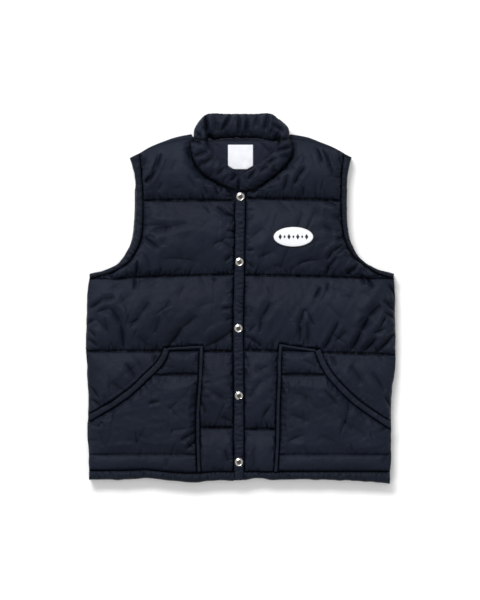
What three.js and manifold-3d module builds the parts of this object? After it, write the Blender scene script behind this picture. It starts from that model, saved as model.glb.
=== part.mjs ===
// A quilted puffer vest, fastened and laid flat on its back. Units are millimetres.
// +Z is up off the surface, +Y towards the collar, +X towards the wearer's left (the viewer's right).
// The padded fronts lie on the padded back. Each piece is a closed solid, 0.3 mm from its neighbours.
import * as THREE from 'three';
import { mergeVertices } from 'three/addons/utils/BufferGeometryUtils.js';
import Module from 'manifold-3d';

const wasm = await Module();
wasm.setup();

// Driving dimensions
const GAP = 0.3; // clearance between neighbouring pieces
const BACK_THICKNESS = 18; // padding of the back, pressed by the fronts
const FRONT_Z = BACK_THICKNESS + GAP; // underside of the fronts
const EDGE_THICKNESS = 2; // cloth at a side seam or a free edge
const SEAM_THICKNESS = 5; // cloth and flat padding at a quilting seam
const LOFT = 19; // rise of a baffle above its quilting seams
const SIDE_ROUNDING = 40; // how far in from a side seam the padding reaches its full height
const SEAM_ROUNDING = 16; // the same beside an armhole binding or the placket
const NECK_ROUNDING = 26; // the same beside the neck seam
const SHOULDER_ROUNDING = 0.14; // share of the yoke over which it thins to the shoulder
const BACK_ROUNDING = 16; // width of the rounded lower edge of the back
const BINDING_ROUNDING = 6; // the same on its armhole bindings
const UNDERLAP = 16; // how far the wearer's right front runs under the placket
const UNDERLAP_TAPER = 3; // how much narrower the underlap gets for each millimetre above the chest seam
const UNDERLAP_THICKNESS = 3; // a front where the placket or a pocket lies on it
const OVERLAY_Z = FRONT_Z + UNDERLAP_THICKNESS + GAP; // underside of the placket and the pockets
const BAND_HEIGHT = 11; // hem band and armhole binding, above their own underside
const PLACKET_WIDTH = 19;
const PLACKET_HEIGHT = 9;
const POCKET_LOFT = 13;
const POCKET_BINDING_WIDTH = 8;
const POCKET_OPENING_WIDTH = 12;
const POCKET_BINDING_HEIGHT = 15;
const LINING_THICKNESS = 1.5;
const SNAP_RADIUS = 8;
const ABOVE_ALL = 100; // a height above every piece, for the tools that cut room
const LABEL = { width: 48, height: 47, corner: 11, x: 0, y: 270, thickness: 1 };
const PATCH = { halfWidth: 38, halfHeight: 18, x: 101, y: 117, thickness: 1.6, rim: 0.8 };

// Heights of the quilting seams above the middle of the vest, from the hem seam to the chest
const SEAM_Y = { hem: -333, lower: -248, waist: -98, underarm: 44, chest: 192 };

// Side edges of the vest, from the hem to the underarm
const SIDES = [
  { y: -352, right: -288, left: 284 },
  { y: -333, right: -289, left: 286 },
  { y: -295, right: -290, left: 287 },
  { y: -248, right: -291, left: 287 },
  { y: -214, right: -290, left: 288 },
  { y: -168, right: -293, left: 290 },
  { y: -98, right: -295, left: 295 },
  { y: -40, right: -295, left: 295 },
  { y: 38, right: -285, left: 293 },
];

// Armholes from the underarm to the shoulder: the free edge, and the seam of the binding
const ARMHOLES = {
  right: [
    { edge: [-286, 47], seam: [-285, 38] },
    { edge: [-262, 53], seam: [-245, 50] },
    { edge: [-232, 69], seam: [-215, 69] },
    { edge: [-209, 108], seam: [-196, 99] },
    { edge: [-203, 144], seam: [-188, 132] },
    { edge: [-201, 192], seam: [-187, 192] },
    { edge: [-203, 235], seam: [-189, 235] },
    { edge: [-212, 268], seam: [-194, 277] },
  ],
  left: [
    { edge: [294, 47], seam: [293, 38] },
    { edge: [261, 56], seam: [258, 50] },
    { edge: [231, 75], seam: [223, 75] },
    { edge: [212, 106], seam: [205, 101] },
    { edge: [205, 140], seam: [196, 136] },
    { edge: [204, 192], seam: [193, 192] },
    { edge: [206, 240], seam: [194, 240] },
    { edge: [213, 269], seam: [199, 276] },
  ],
};

// Shoulder folds from the armhole to the collar. seamDrop is how far in front of the fold the seam lies.
const SHOULDERS = [
  { right: -194, left: 199, y: 277, seamDrop: 1 },
  { right: -174, left: 177, y: 289, seamDrop: 3 },
  { right: -150, left: 152, y: 299, seamDrop: 5 },
  { right: -124, left: 128, y: 308, seamDrop: 7 },
  { right: -94, left: 95, y: 314, seamDrop: 9 },
];

// Middle line of the placket, which carries the snaps
const PLACKET = [
  { x: -3, y: -349 },
  { x: -3, y: -314 },
  { x: -3, y: -187 },
  { x: -4, y: -57 },
  { x: -2, y: 69 },
  { x: 0, y: 202 },
];
const SNAP_Y = [-314, -187, -58, 69, 194];

// The free edge of the hem, which lies a little unevenly
const HEM = [
  { x: -288, y: -347 },
  { x: -210, y: -347 },
  { x: -178, y: -343 },
  { x: -120, y: -350 },
  { x: -60, y: -351 },
  { x: 0, y: -347 },
  { x: 34, y: -343 },
  { x: 90, y: -347 },
  { x: 200, y: -348 },
  { x: 250, y: -351 },
  { x: 284, y: -355 },
];

// The collar from its right end round the back of the neck to its left end.
// Each row has the neck seam and the top edge of the collar, with the padding between them.
const COLLAR = [
  { seamX: -8, seamY: 205, seamZ: 30, topX: -5, topY: 233, topZ: 36, padding: 20 },
  { seamX: -24, seamY: 211, seamZ: 31, topX: -15, topY: 244, topZ: 39, padding: 24 },
  { seamX: -44, seamY: 221, seamZ: 32, topX: -28, topY: 256, topZ: 41, padding: 26 },
  { seamX: -69, seamY: 235, seamZ: 32, topX: -45, topY: 270, topZ: 42, padding: 27 },
  { seamX: -86, seamY: 254, seamZ: 32, topX: -57, topY: 283, topZ: 43, padding: 27 },
  { seamX: -95, seamY: 277, seamZ: 32, topX: -66, topY: 297, topZ: 44, padding: 27 },
  { seamX: -96, seamY: 295, seamZ: 30, topX: -67, topY: 314, topZ: 42, padding: 27 },
  { seamX: -85, seamY: 307, seamZ: 25, topX: -62, topY: 333, topZ: 33, padding: 27 },
  { seamX: -71, seamY: 309, seamZ: 17, topX: -59, topY: 348, topZ: 19, padding: 27 },
  { seamX: -58, seamY: 309, seamZ: 13, topX: -50, topY: 352, topZ: 13, padding: 27 },
  { seamX: -29, seamY: 309, seamZ: 12, topX: -28, topY: 353, topZ: 12, padding: 28 },
  { seamX: 0, seamY: 309, seamZ: 12, topX: 0, topY: 353, topZ: 12, padding: 28 },
  { seamX: 28, seamY: 309, seamZ: 12, topX: 26, topY: 353, topZ: 12, padding: 28 },
  { seamX: 56, seamY: 309, seamZ: 13, topX: 48, topY: 353, topZ: 13, padding: 27 },
  { seamX: 73, seamY: 309, seamZ: 17, topX: 64, topY: 344, topZ: 19, padding: 27 },
  { seamX: 86, seamY: 307, seamZ: 25, topX: 71, topY: 329, topZ: 33, padding: 27 },
  { seamX: 97, seamY: 297, seamZ: 30, topX: 73, topY: 314, topZ: 42, padding: 27 },
  { seamX: 99, seamY: 281, seamZ: 32, topX: 72, topY: 298, topZ: 44, padding: 27 },
  { seamX: 92, seamY: 263, seamZ: 32, topX: 66, topY: 282, topZ: 43, padding: 27 },
  { seamX: 75, seamY: 243, seamZ: 32, topX: 51, topY: 268, topZ: 42, padding: 27 },
  { seamX: 49, seamY: 223, seamZ: 32, topX: 32, topY: 255, topZ: 41, padding: 26 },
  { seamX: 25, seamY: 208, seamZ: 31, topX: 15, topY: 243, topZ: 39, padding: 24 },
  { seamX: 12, seamY: 205, seamZ: 30, topX: 3, topY: 235, topZ: 36, padding: 21 },
  { seamX: -2, seamY: 205, seamZ: 30, topX: -1, topY: 232, topZ: 36, padding: 20 },
];

// The largest folds of the fronts, as soft troughs from one point to another
const FOLDS = [
  { x1: -147, y1: 284, x2: -178, y2: 221, width: 13, depth: 5 },
  { x1: -187, y1: 118, x2: -150, y2: 92, width: 14, depth: 5 },
  { x1: -198, y1: 70, x2: -198, y2: 16, width: 12, depth: 4 },
  { x1: -240, y1: -28, x2: -222, y2: -88, width: 15, depth: 5 },
  { x1: -292, y1: -22, x2: -248, y2: 2, width: 14, depth: 4 },
  { x1: 152, y1: 289, x2: 164, y2: 248, width: 13, depth: 5 },
  { x1: 92, y1: 240, x2: 80, y2: 207, width: 14, depth: 4 },
  { x1: 199, y1: 113, x2: 160, y2: 66, width: 14, depth: 5 },
  { x1: 236, y1: -22, x2: 208, y2: -70, width: 16, depth: 5 },
  { x1: 53, y1: -8, x2: 38, y2: -42, width: 14, depth: 4 },
];

// Pocket outlines. Each row of the opening is on the middle line of its binding.
const POCKETS = {
  right: {
    inner: [{ x: -76, y: -340 }, { x: -80, y: -248 }, { x: -80, y: -195 }, { x: -74, y: -92 }],
    opening: [
      { x: -290, y: -226 },
      { x: -243, y: -196 },
      { x: -183, y: -158 },
      { x: -159, y: -131 },
      { x: -137, y: -96 },
    ],
    topOuter: { x: -134, y: -95 },
  },
  left: {
    inner: [{ x: 68, y: -340 }, { x: 72, y: -248 }, { x: 74, y: -195 }, { x: 77, y: -90 }],
    opening: [
      { x: 288, y: -238 },
      { x: 228, y: -200 },
      { x: 178, y: -155 },
      { x: 159, y: -127 },
      { x: 143, y: -98 },
    ],
    topOuter: { x: 139, y: -97 },
  },
};
const POCKET_SEAM_Y = { bottom: -332, hemStitch: -300, yoke: -146 };

const NAVY = new THREE.Color(0x20242f);
const cloth = (tint = 1) =>
  new THREE.MeshStandardMaterial({ color: NAVY.clone().multiplyScalar(tint), roughness: 0.55, metalness: 0 });
const nickel = () => new THREE.MeshStandardMaterial({ color: 0xd2d0ca, roughness: 0.25, metalness: 1 });
const whiteTwill = () => new THREE.MeshStandardMaterial({ color: 0xf2f1ee, roughness: 0.75, metalness: 0 });

const vec = (x, y) => new THREE.Vector2(x, y);
const lerp = THREE.MathUtils.lerp;
const clamp01 = (value) => THREE.MathUtils.clamp(value, 0, 1);
const curveOf = (points) => new THREE.SplineCurve(points);

// A quarter-round rise from 0 at an edge to 1 at the given distance
const roundRise = (distance, reach) => Math.sqrt(1 - (1 - clamp01(distance / reach)) ** 2);
// The crown of a baffle between two seams, for share 0 to 1 of the way across
const crown = (share) => 1 - Math.abs(2 * share - 1) ** 2.6;

// The share along a curve, rising in y, at which it passes a given y
function shareAtY(curve, y) {
  let low = 0;
  let high = 1;
  for (let step = 0; step < 40; step++) {
    const middle = (low + high) / 2;
    if (curve.getPoint(middle).y < y) low = middle;
    else high = middle;
  }
  return low;
}

const pointAtY = (curve, y) => curve.getPoint(shareAtY(curve, y));

// Points along a curve between two heights, at the given shares of the way
function stretch(curve, fromY, toY, shares) {
  const from = shareAtY(curve, fromY);
  const to = shareAtY(curve, toY);
  return shares.map((share) => curve.getPoint(lerp(from, to, share)));
}

// A line moved sideways by a distance, to the left of its direction
function offsetLine(line, distance) {
  return line.map((point, index) => {
    const before = line[Math.max(index - 1, 0)];
    const after = line[Math.min(index + 1, line.length - 1)];
    const back = point.clone().sub(before);
    const ahead = after.clone().sub(point);
    const direction = back.normalize().add(ahead.normalize()).normalize();
    const reference = index === 0 ? ahead : back;
    const miter = Math.max(0.5, direction.dot(reference));
    return vec(point.x - (direction.y * distance) / miter, point.y + (direction.x * distance) / miter);
  });
}

const geometryOf = (positions, index) =>
  new THREE.BufferGeometry()
    .setAttribute('position', new THREE.Float32BufferAttribute(positions, 3))
    .setIndex(index);

// A closed solid from rings of the same number of points, the first on top and the last below
function ringSolid(rings) {
  const count = rings[0].length;
  const positions = rings.flat().flatMap((point) => [point.x, point.y, point.z]);
  const flat = (ring) => ring.map((point) => vec(point.x, point.y));
  const index = [];
  for (let ring = 0; ring + 1 < rings.length; ring++) {
    for (let k = 0; k < count; k++) {
      const a = ring * count + k;
      const b = ring * count + ((k + 1) % count);
      index.push(a, a + count, b, b, a + count, b + count);
    }
  }
  for (const [a, b, c] of THREE.ShapeUtils.triangulateShape(flat(rings[0]), [])) index.push(a, b, c);
  const last = (rings.length - 1) * count;
  for (const [a, b, c] of THREE.ShapeUtils.triangulateShape(flat(rings.at(-1)), [])) {
    index.push(last + a, last + c, last + b);
  }
  return geometryOf(positions, index);
}

// An upright prism with a plan outline
function prism(outline, bottom, top) {
  const loop = THREE.ShapeUtils.area(outline) > 0 ? outline : [...outline].reverse();
  return ringSolid([top, bottom].map((z) => loop.map((point) => new THREE.Vector3(point.x, point.y, z))));
}

const isStraight = (line) => {
  const whole = line.at(-1).clone().sub(line[0]);
  return line.every((point) => Math.abs(whole.cross(point.clone().sub(line[0]))) < 0.01 * whole.length());
};

// A closed solid under a grid of plan points: a shaped top and a flat underside.
// Its outline is made of the rows' ends, the first row, which is straight, and the last row.
function gridSolid(grid, topZ, bottomZ) {
  const columns = grid[0].length;
  const lastRow = grid.length - 1;
  const bowed = !isStraight(grid[lastRow]);
  const positions = grid.flatMap((line, i) => line.flatMap((point, j) => [point.x, point.y, topZ(i, j)]));
  const addBottom = (point) => positions.push(point.x, point.y, bottomZ) / 3 - 1;
  const top = grid.map((line, i) => line.map((_, j) => i * columns + j));
  const bottom = grid.map((line, i) => (bowed && i === lastRow ? line : [line[0], line.at(-1)]).map(addBottom));

  const outline = [...grid.map((line) => line.at(-1)), ...grid.map((line) => line[0]).reverse()];
  const turned = THREE.ShapeUtils.area(outline) < 0;
  const index = [];
  const face = (a, b, c) => (turned ? index.push(a, c, b) : index.push(a, b, c));
  const quad = (a, b, c, d) => {
    face(a, b, c);
    face(a, c, d);
  };
  // Joins two points to a chain of points
  const fan = (a, b, chain) => {
    const middle = Math.floor((chain.length - 1) / 2);
    for (let k = 0; k < middle; k++) face(a, chain[k], chain[k + 1]);
    face(a, chain[middle], b);
    for (let k = middle; k + 1 < chain.length; k++) face(b, chain[k], chain[k + 1]);
  };

  for (let i = 0; i < lastRow; i++) {
    for (let j = 0; j + 1 < columns; j++) quad(top[i][j], top[i][j + 1], top[i + 1][j + 1], top[i + 1][j]);
    fan(bottom[i][0], bottom[i][1], bottom[i + 1]);
    quad(bottom[i][0], top[i][0], top[i + 1][0], bottom[i + 1][0]);
    quad(bottom[i][1], bottom[i + 1].at(-1), top[i + 1].at(-1), top[i].at(-1));
  }
  fan(bottom[0][1], bottom[0][0], [...top[0]].reverse());
  const [lastTop, lastBottom] = [top[lastRow], bottom[lastRow]];
  if (!bowed) fan(lastBottom[0], lastBottom[1], lastTop);
  else {
    for (let j = 0; j + 1 < columns; j++) quad(lastBottom[j], lastTop[j], lastTop[j + 1], lastBottom[j + 1]);
  }
  return geometryOf(positions, index);
}

// Cross-sections of strips: how far across, and what share of the height
const ROUND_SECTION = [
  { across: 0, rise: 0.15 },
  { across: 0.1, rise: 0.66 },
  { across: 0.4, rise: 1 },
  { across: 0.7, rise: 0.95 },
  { across: 0.92, rise: 0.6 },
  { across: 1, rise: 0.3 },
];
const FLAT_SECTION = [
  { across: 0, rise: 0.45 },
  { across: 0.14, rise: 0.9 },
  { across: 0.5, rise: 1 },
  { across: 0.86, rise: 0.9 },
  { across: 1, rise: 0.45 },
];

// A strip between two plan lines, with a section raised across it
function stripSolid(lineA, lineB, section, bottomZ, height) {
  const grid = lineA.map((point, k) => section.map(({ across }) => point.clone().lerp(lineB[k], across)));
  return gridSolid(grid, (i, j) => bottomZ + height * section[j].rise, bottomZ);
}

function solidOf(geometry) {
  const plain = geometry.clone();
  plain.deleteAttribute('normal');
  plain.deleteAttribute('uv');
  const merged = mergeVertices(plain, 1e-3);
  return new wasm.Manifold(
    new wasm.Mesh({
      numProp: 3,
      vertProperties: merged.attributes.position.array,
      triVerts: new Uint32Array(merged.index.array),
    }),
  );
}

function geometryOfSolid(solid) {
  const mesh = solid.getMesh();
  return geometryOf(Array.from(mesh.vertProperties), Array.from(mesh.triVerts));
}

// Cuts one geometry by others and keeps the largest piece
function cut(geometry, ...cutters) {
  let solid = solidOf(geometry);
  for (const cutter of cutters) solid = solid.subtract(solidOf(cutter));
  const pieces = solid.decompose().sort((a, b) => b.volume() - a.volume());
  return geometryOfSolid(pieces[0]);
}

const vest = new THREE.Group();

function addPiece(name, geometry, material) {
  const mesh = new THREE.Mesh(geometry, material);
  mesh.name = name;
  vest.add(mesh);
}

const shares = (count) => Array.from({ length: count + 1 }, (_, k) => k / count);

// Shares of the way at which a panel has rows or columns, closer together beside its seams
const BAFFLE_SHARES = [0, 0.05, 0.13, 0.25, 0.4, 0.6, 0.75, 0.87, 0.95, 1];
const ARMHOLE_SHARES = [0, 0.04, 0.1, 0.18, 0.27, 0.36, 0.45, 0.54, 0.63, 0.72, 0.81, 0.89, 0.95, 1];
const LOWER_SHARES = [0, 0.1, 0.3, 0.7, 0.9, 1];
const HALF_ACROSS = [0, 0.012, 0.035, 0.07, 0.12, 0.19, 0.27, 0.36, 0.45];
const ACROSS = [...HALF_ACROSS, 0.54, 0.63, 0.72, 0.8, 0.87, 0.93, 0.975, 1];

const placketCurve = curveOf(PLACKET.map(({ x, y }) => vec(x, y)));
const sideCurve = (side) => curveOf(SIDES.map((row) => vec(row[side], row.y)));
const inwardFrom = (side) => (side === 'right' ? 1 : -1); // the sign of X from a side towards the middle

// The armhole's free edge or its seam, in as many steps as the two baffles that it borders have rows
function armholeLine(side, column) {
  const curve = curveOf(ARMHOLES[side].map((row) => vec(...row[column])));
  const below = stretch(curve, curve.getPoint(0).y, SEAM_Y.chest, ARMHOLE_SHARES);
  const above = stretch(curve, SEAM_Y.chest, curve.getPoint(1).y, BAFFLE_SHARES);
  return [...below, ...above.slice(1)];
}

// The shoulder: the fold of the back where dropShare is 0, the seam of the front where it is 1
const shoulderLine = (side, dropShare) =>
  SHOULDERS.map((row) => vec(row[side], row.y - row.seamDrop * dropShare));

// The height of the shoulder seam above the middle of the vest, at a place across it
function shoulderY(side, x) {
  const line = shoulderLine(side, 1);
  const next = line.findIndex((point) => Math.abs(point.x) < Math.abs(x));
  if (next < 0) return line.at(-1).y;
  if (next === 0) return line[0].y;
  const [from, to] = [line[next - 1], line[next]];
  return lerp(from.y, to.y, (x - from.x) / (to.x - from.x));
}

// The neck seam of one side, from the placket to the shoulder
function neckSeam(side) {
  const fromPlacket = side === 'right' ? COLLAR : [...COLLAR].reverse();
  const half = fromPlacket.slice(0, COLLAR.length / 2);
  const belowShoulder = SHOULDERS.at(-1).y - SHOULDERS.at(-1).seamDrop;
  return half.map((row) => vec(row.seamX, row.seamY)).filter((point) => point.y < belowShoulder);
}

// How deep the folds cut into the front at a plan point
function foldDepth(point) {
  let depth = 0;
  for (const fold of FOLDS) {
    const start = vec(fold.x1, fold.y1);
    const line = vec(fold.x2, fold.y2).sub(start);
    const along = clamp01(point.clone().sub(start).dot(line) / line.lengthSq());
    const distance = point.distanceTo(start.add(line.multiplyScalar(along)));
    const taper = Math.sqrt(Math.sin(Math.PI * along) + 0.15);
    depth += fold.depth * taper * Math.exp(-((distance / fold.width) ** 2));
  }
  return depth;
}

// The plan points of one baffle, between its lower and upper lines and its outer and inner edges
function bafflePoints({ outer, inner, upperBow = [] }) {
  return outer.map((outerPoint, i) => {
    const share = i / (outer.length - 1);
    return ACROSS.map((across, j) => {
      const point = outerPoint.clone().lerp(inner[i], across);
      if (upperBow.length) point.y += upperBow[j] * share ** 2;
      return point;
    });
  });
}

function frontPanel(side) {
  const direction = inwardFrom(side);
  const sideEdge = sideCurve(side);
  const middleEdge = curveOf(
    PLACKET.map(({ x, y }) => vec(x - direction * (PLACKET_WIDTH / 2 + GAP), y)),
  );
  const armhole = offsetLine(armholeLine(side, 'seam'), -direction * GAP);

  const baffles = [
    { from: SEAM_Y.hem, to: SEAM_Y.lower, at: LOWER_SHARES },
    { from: SEAM_Y.lower, to: SEAM_Y.waist, at: BAFFLE_SHARES },
    { from: SEAM_Y.waist, to: SEAM_Y.underarm, at: BAFFLE_SHARES },
  ].map(({ from, to, at }) => ({
    lower: from,
    upper: to,
    outer: stretch(sideEdge, from, to, at),
    inner: stretch(middleEdge, from, to, at),
  }));
  baffles.push({
    lower: SEAM_Y.underarm,
    upper: SEAM_Y.chest,
    outer: armhole.slice(0, ARMHOLE_SHARES.length),
    inner: stretch(middleEdge, SEAM_Y.underarm, SEAM_Y.chest, ARMHOLE_SHARES),
  });

  const shoulderPoints = shoulderLine(side, 1);
  const shoulder = curveOf(shoulderPoints);
  const neckStart = pointAtY(middleEdge, SEAM_Y.chest);
  const neckCurve = curveOf([neckStart, ...neckSeam(side).slice(1), shoulderPoints.at(-1)]);
  const outer = armhole.slice(ARMHOLE_SHARES.length - 1);
  const inner = BAFFLE_SHARES.map((share) => neckCurve.getPointAt(share));
  const chord = (across) => lerp(outer.at(-1).y, inner.at(-1).y, across);
  const upperBow = ACROSS.map((across) => shoulder.getPointAt(across).y - chord(across));
  baffles.push({ lower: SEAM_Y.chest, upper: SHOULDERS.at(-1).y, outer, inner, upperBow, yoke: true });

  const grid = [];
  const heights = [];
  baffles.forEach((baffle) => {
    bafflePoints(baffle).forEach((line, i) => {
      if (grid.length > 0 && i === 0) return; // the baffle below ends in this row
      const length = line[0].distanceTo(line.at(-1));
      const outerReach = baffle.lower < SEAM_Y.underarm ? SIDE_ROUNDING : SEAM_ROUNDING;
      const innerReach = baffle.yoke ? NECK_ROUNDING : SEAM_ROUNDING;
      const rowHeights = line.map((point, j) => {
        const round =
          roundRise(ACROSS[j] * length, outerReach) * roundRise((1 - ACROSS[j]) * length, innerReach);
        const top = baffle.yoke ? shoulderY(side, point.x) : baffle.upper;
        const share = clamp01((point.y - baffle.lower) / (top - baffle.lower));
        const shoulderRound = baffle.yoke ? roundRise(1 - share, SHOULDER_ROUNDING) : 1;
        const padding = SEAM_THICKNESS - EDGE_THICKNESS + LOFT * crown(share);
        const height = round * shoulderRound * Math.max(1, padding - foldDepth(point));
        return FRONT_Z + EDGE_THICKNESS + height;
      });
      if (side === 'right') {
        // The last column runs under the placket, and tapers off above it at the neck.
        const above = Math.max(0, line.at(-1).y - SEAM_Y.chest);
        const under = Math.max(1, UNDERLAP - UNDERLAP_TAPER * above);
        line.push(vec(line.at(-1).x + under, line.at(-1).y));
        rowHeights.push(FRONT_Z + EDGE_THICKNESS);
      }
      grid.push(line);
      heights.push(rowHeights);
    });
  });
  return gridSolid(grid, (i, j) => heights[i][j], FRONT_Z);
}

// A tube of padding between the neck seam and the top edge. grow makes it larger, to cut room for it.
function collarSolid(grow) {
  const SECTIONS = 64;
  const AROUND = 14;
  const seam = new THREE.CatmullRomCurve3(
    COLLAR.map((row) => new THREE.Vector3(row.seamX, row.seamY, row.seamZ)),
    false,
    'centripetal',
  );
  const top = new THREE.CatmullRomCurve3(
    COLLAR.map((row) => new THREE.Vector3(row.topX, row.topY, row.topZ)),
    false,
    'centripetal',
  );
  const paddingAt = (share) => {
    const place = share * (COLLAR.length - 1);
    const row = Math.min(Math.floor(place), COLLAR.length - 2);
    return lerp(COLLAR[row].padding, COLLAR[row + 1].padding, place - row);
  };
  const middleAt = (share) => seam.getPoint(clamp01(share)).lerp(top.getPoint(clamp01(share)), 0.5);
  const rings = shares(SECTIONS).map((share) => {
    const low = seam.getPoint(share);
    const high = top.getPoint(share);
    const middle = middleAt(share);
    const across = high.clone().sub(low);
    const halfLength = across.length() / 2 + grow;
    across.normalize();
    const along = middleAt(share + 0.01).sub(middleAt(share - 0.01)).normalize();
    const outward = along.clone().cross(across).normalize();
    const halfPadding = paddingAt(share) / 2 + grow;
    if (share === 0) middle.addScaledVector(along, -grow);
    if (share === 1) middle.addScaledVector(along, grow);
    return Array.from({ length: AROUND }, (_, k) => {
      const angle = (2 * Math.PI * k) / AROUND;
      const pinch = 0.8 + 0.2 * Math.cos(angle);
      const point = middle
        .clone()
        .addScaledVector(across, halfLength * Math.cos(angle))
        .addScaledVector(outward, halfPadding * pinch * Math.sin(angle));
      point.z = Math.max(point.z, 0);
      return point;
    });
  });
  const positions = rings.flat().flatMap((point) => [point.x, point.y, point.z]);
  const index = [];
  for (let ring = 0; ring < SECTIONS; ring++) {
    for (let k = 0; k < AROUND; k++) {
      const a = ring * AROUND + k;
      const b = ring * AROUND + ((k + 1) % AROUND);
      index.push(a, b, a + AROUND, b, b + AROUND, a + AROUND);
    }
  }
  const last = SECTIONS * AROUND;
  for (let k = 1; k + 1 < AROUND; k++) index.push(0, k + 1, k, last, last + k, last + k + 1);
  return geometryOf(positions, index);
}

// The free edge of the hem between two places across the vest
function hemLine(from, to, count) {
  const curve = curveOf(HEM.map(({ x, y }) => vec(x, y)));
  const first = shareAtX(curve, from);
  const last = shareAtX(curve, to);
  return shares(count).map((share) => curve.getPoint(lerp(first, last, share)));
}

function shareAtX(curve, x) {
  let low = 0;
  let high = 1;
  for (let step = 0; step < 40; step++) {
    const middle = (low + high) / 2;
    if (curve.getPoint(middle).x < x) low = middle;
    else high = middle;
  }
  return low;
}

function frontHemBand(from, to) {
  const edge = hemLine(from, to, 14);
  const seam = edge.map((point) => vec(point.x, SEAM_Y.hem - GAP));
  return stripSolid(edge, seam, ROUND_SECTION, FRONT_Z, BAND_HEIGHT);
}

const frontBinding = (side) =>
  stripSolid(armholeLine(side, 'edge'), armholeLine(side, 'seam'), ROUND_SECTION, FRONT_Z, BAND_HEIGHT);

// A back piece: a flat top and a flat underside, with a rounded lower edge. Each outline point has the
// direction, inward, in which the lower edge draws in there, which is none at a seam.
const LOWER_EDGE = [
  { inset: 0, height: 0.75 },
  { inset: 0.1, height: 0.4 },
  { inset: 0.34, height: 0.15 },
  { inset: 0.66, height: 0.03 },
  { inset: 1, height: 0 },
];
const NOT_ROUND = vec(0, 0);
const rounded = (points, inward) => points.map((at) => ({ at, inward }));

function backPiece(outline, reach) {
  const turned = THREE.ShapeUtils.area(outline.map(({ at }) => at)) < 0;
  const loop = turned ? [...outline].reverse() : outline;
  const ring = (inset, z) =>
    loop.map(({ at, inward }) => new THREE.Vector3(at.x + inward.x * inset, at.y + inward.y * inset, z));
  const lower = LOWER_EDGE.map(({ inset, height }) => ring(inset * reach, BACK_THICKNESS * height));
  return ringSolid([ring(0, BACK_THICKNESS), ...lower]);
}

function backPanel() {
  const half = (side) => {
    const direction = inwardFrom(side);
    const edge = stretch(sideCurve(side), SEAM_Y.hem, SIDES.at(-1).y, shares(12));
    const armhole = offsetLine(armholeLine(side, 'seam'), -direction * GAP);
    return [
      ...rounded(edge.slice(0, -1), vec(direction, 0)),
      ...rounded(armhole, NOT_ROUND),
      ...rounded(shoulderLine(side, 0).slice(1), vec(0, -1)),
    ];
  };
  return backPiece([...half('right'), ...half('left').reverse()], BACK_ROUNDING);
}

function backBinding(side) {
  const edge = armholeLine(side, 'edge');
  const seam = armholeLine(side, 'seam');
  const free = edge.map((at, k) => ({ at, inward: seam[k].clone().sub(at).normalize() }));
  return backPiece([...free, ...rounded(seam, NOT_ROUND).reverse()], BINDING_ROUNDING);
}

function backHemBand() {
  const { right, left } = SIDES[1];
  const edge = hemLine(right, left, 16);
  const seamY = SEAM_Y.hem - GAP;
  const outline = [
    { at: edge[0], inward: vec(1, 0.5) },
    ...rounded(edge.slice(1, -1), vec(0, 0.5)),
    { at: edge.at(-1), inward: vec(-1, 0.5) },
    { at: vec(left, seamY), inward: vec(-1, 0) },
    { at: vec(right, seamY), inward: vec(1, 0) },
  ];
  return backPiece(outline, BACK_ROUNDING);
}

// The lining of the back where the neck shows it
function backLining() {
  const middle = vec(0, 265);
  const underCollar = COLLAR.slice(2, -2).map((row) => vec(row.seamX, row.seamY).lerp(middle, 0.04));
  return prism(underCollar, FRONT_Z, FRONT_Z + LINING_THICKNESS);
}

function placket() {
  const hemY = PLACKET[0].y + 2;
  const line = stretch(placketCurve, hemY, PLACKET.at(-1).y, shares(30));
  const half = PLACKET_WIDTH / 2;
  const left = line.map((point) => vec(point.x - half, point.y));
  const right = line.map((point) => vec(point.x + half, point.y));
  return stripSolid(left, right, FLAT_SECTION, OVERLAY_Z, PLACKET_HEIGHT);
}

// Plan lines of a pocket: side, opening, inner edge, all rising in y
function pocketLines(side) {
  const direction = inwardFrom(side);
  const { inner, opening, topOuter } = POCKETS[side];
  const innerCurve = curveOf(inner.map(({ x, y }) => vec(x, y)));
  const openingCurve = curveOf(opening.map(({ x, y }) => vec(x, y)));
  return { direction, innerCurve, openingCurve, topOuter: vec(topOuter.x, topOuter.y) };
}

// A row of the pocket: how high it lies and what share of the padding it has
const POCKET_ROWS = [
  { y: POCKET_SEAM_Y.bottom, fill: 0.35 },
  { y: POCKET_SEAM_Y.bottom + 8, fill: 0.62 },
  { y: POCKET_SEAM_Y.hemStitch - 6, fill: 0.66 },
  { y: POCKET_SEAM_Y.hemStitch, fill: 0.5 },
  { y: POCKET_SEAM_Y.hemStitch + 8, fill: 0.78 },
  { y: -276, fill: 0.9 },
  { y: -252, fill: 1 },
  { y: -232, fill: 1 },
  { y: -214, fill: 1 },
  { y: -196, fill: 1 },
  { y: -178, fill: 0.96 },
  { y: -160, fill: 0.85 },
  { y: POCKET_SEAM_Y.yoke, fill: 0.55 },
  { y: POCKET_SEAM_Y.yoke + 8, fill: 0.75 },
  { y: -124, fill: 0.8 },
  { y: -112, fill: 0.7 },
  { y: -105, fill: 0.45 },
  { y: -98, fill: 0.2 },
];

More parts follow.
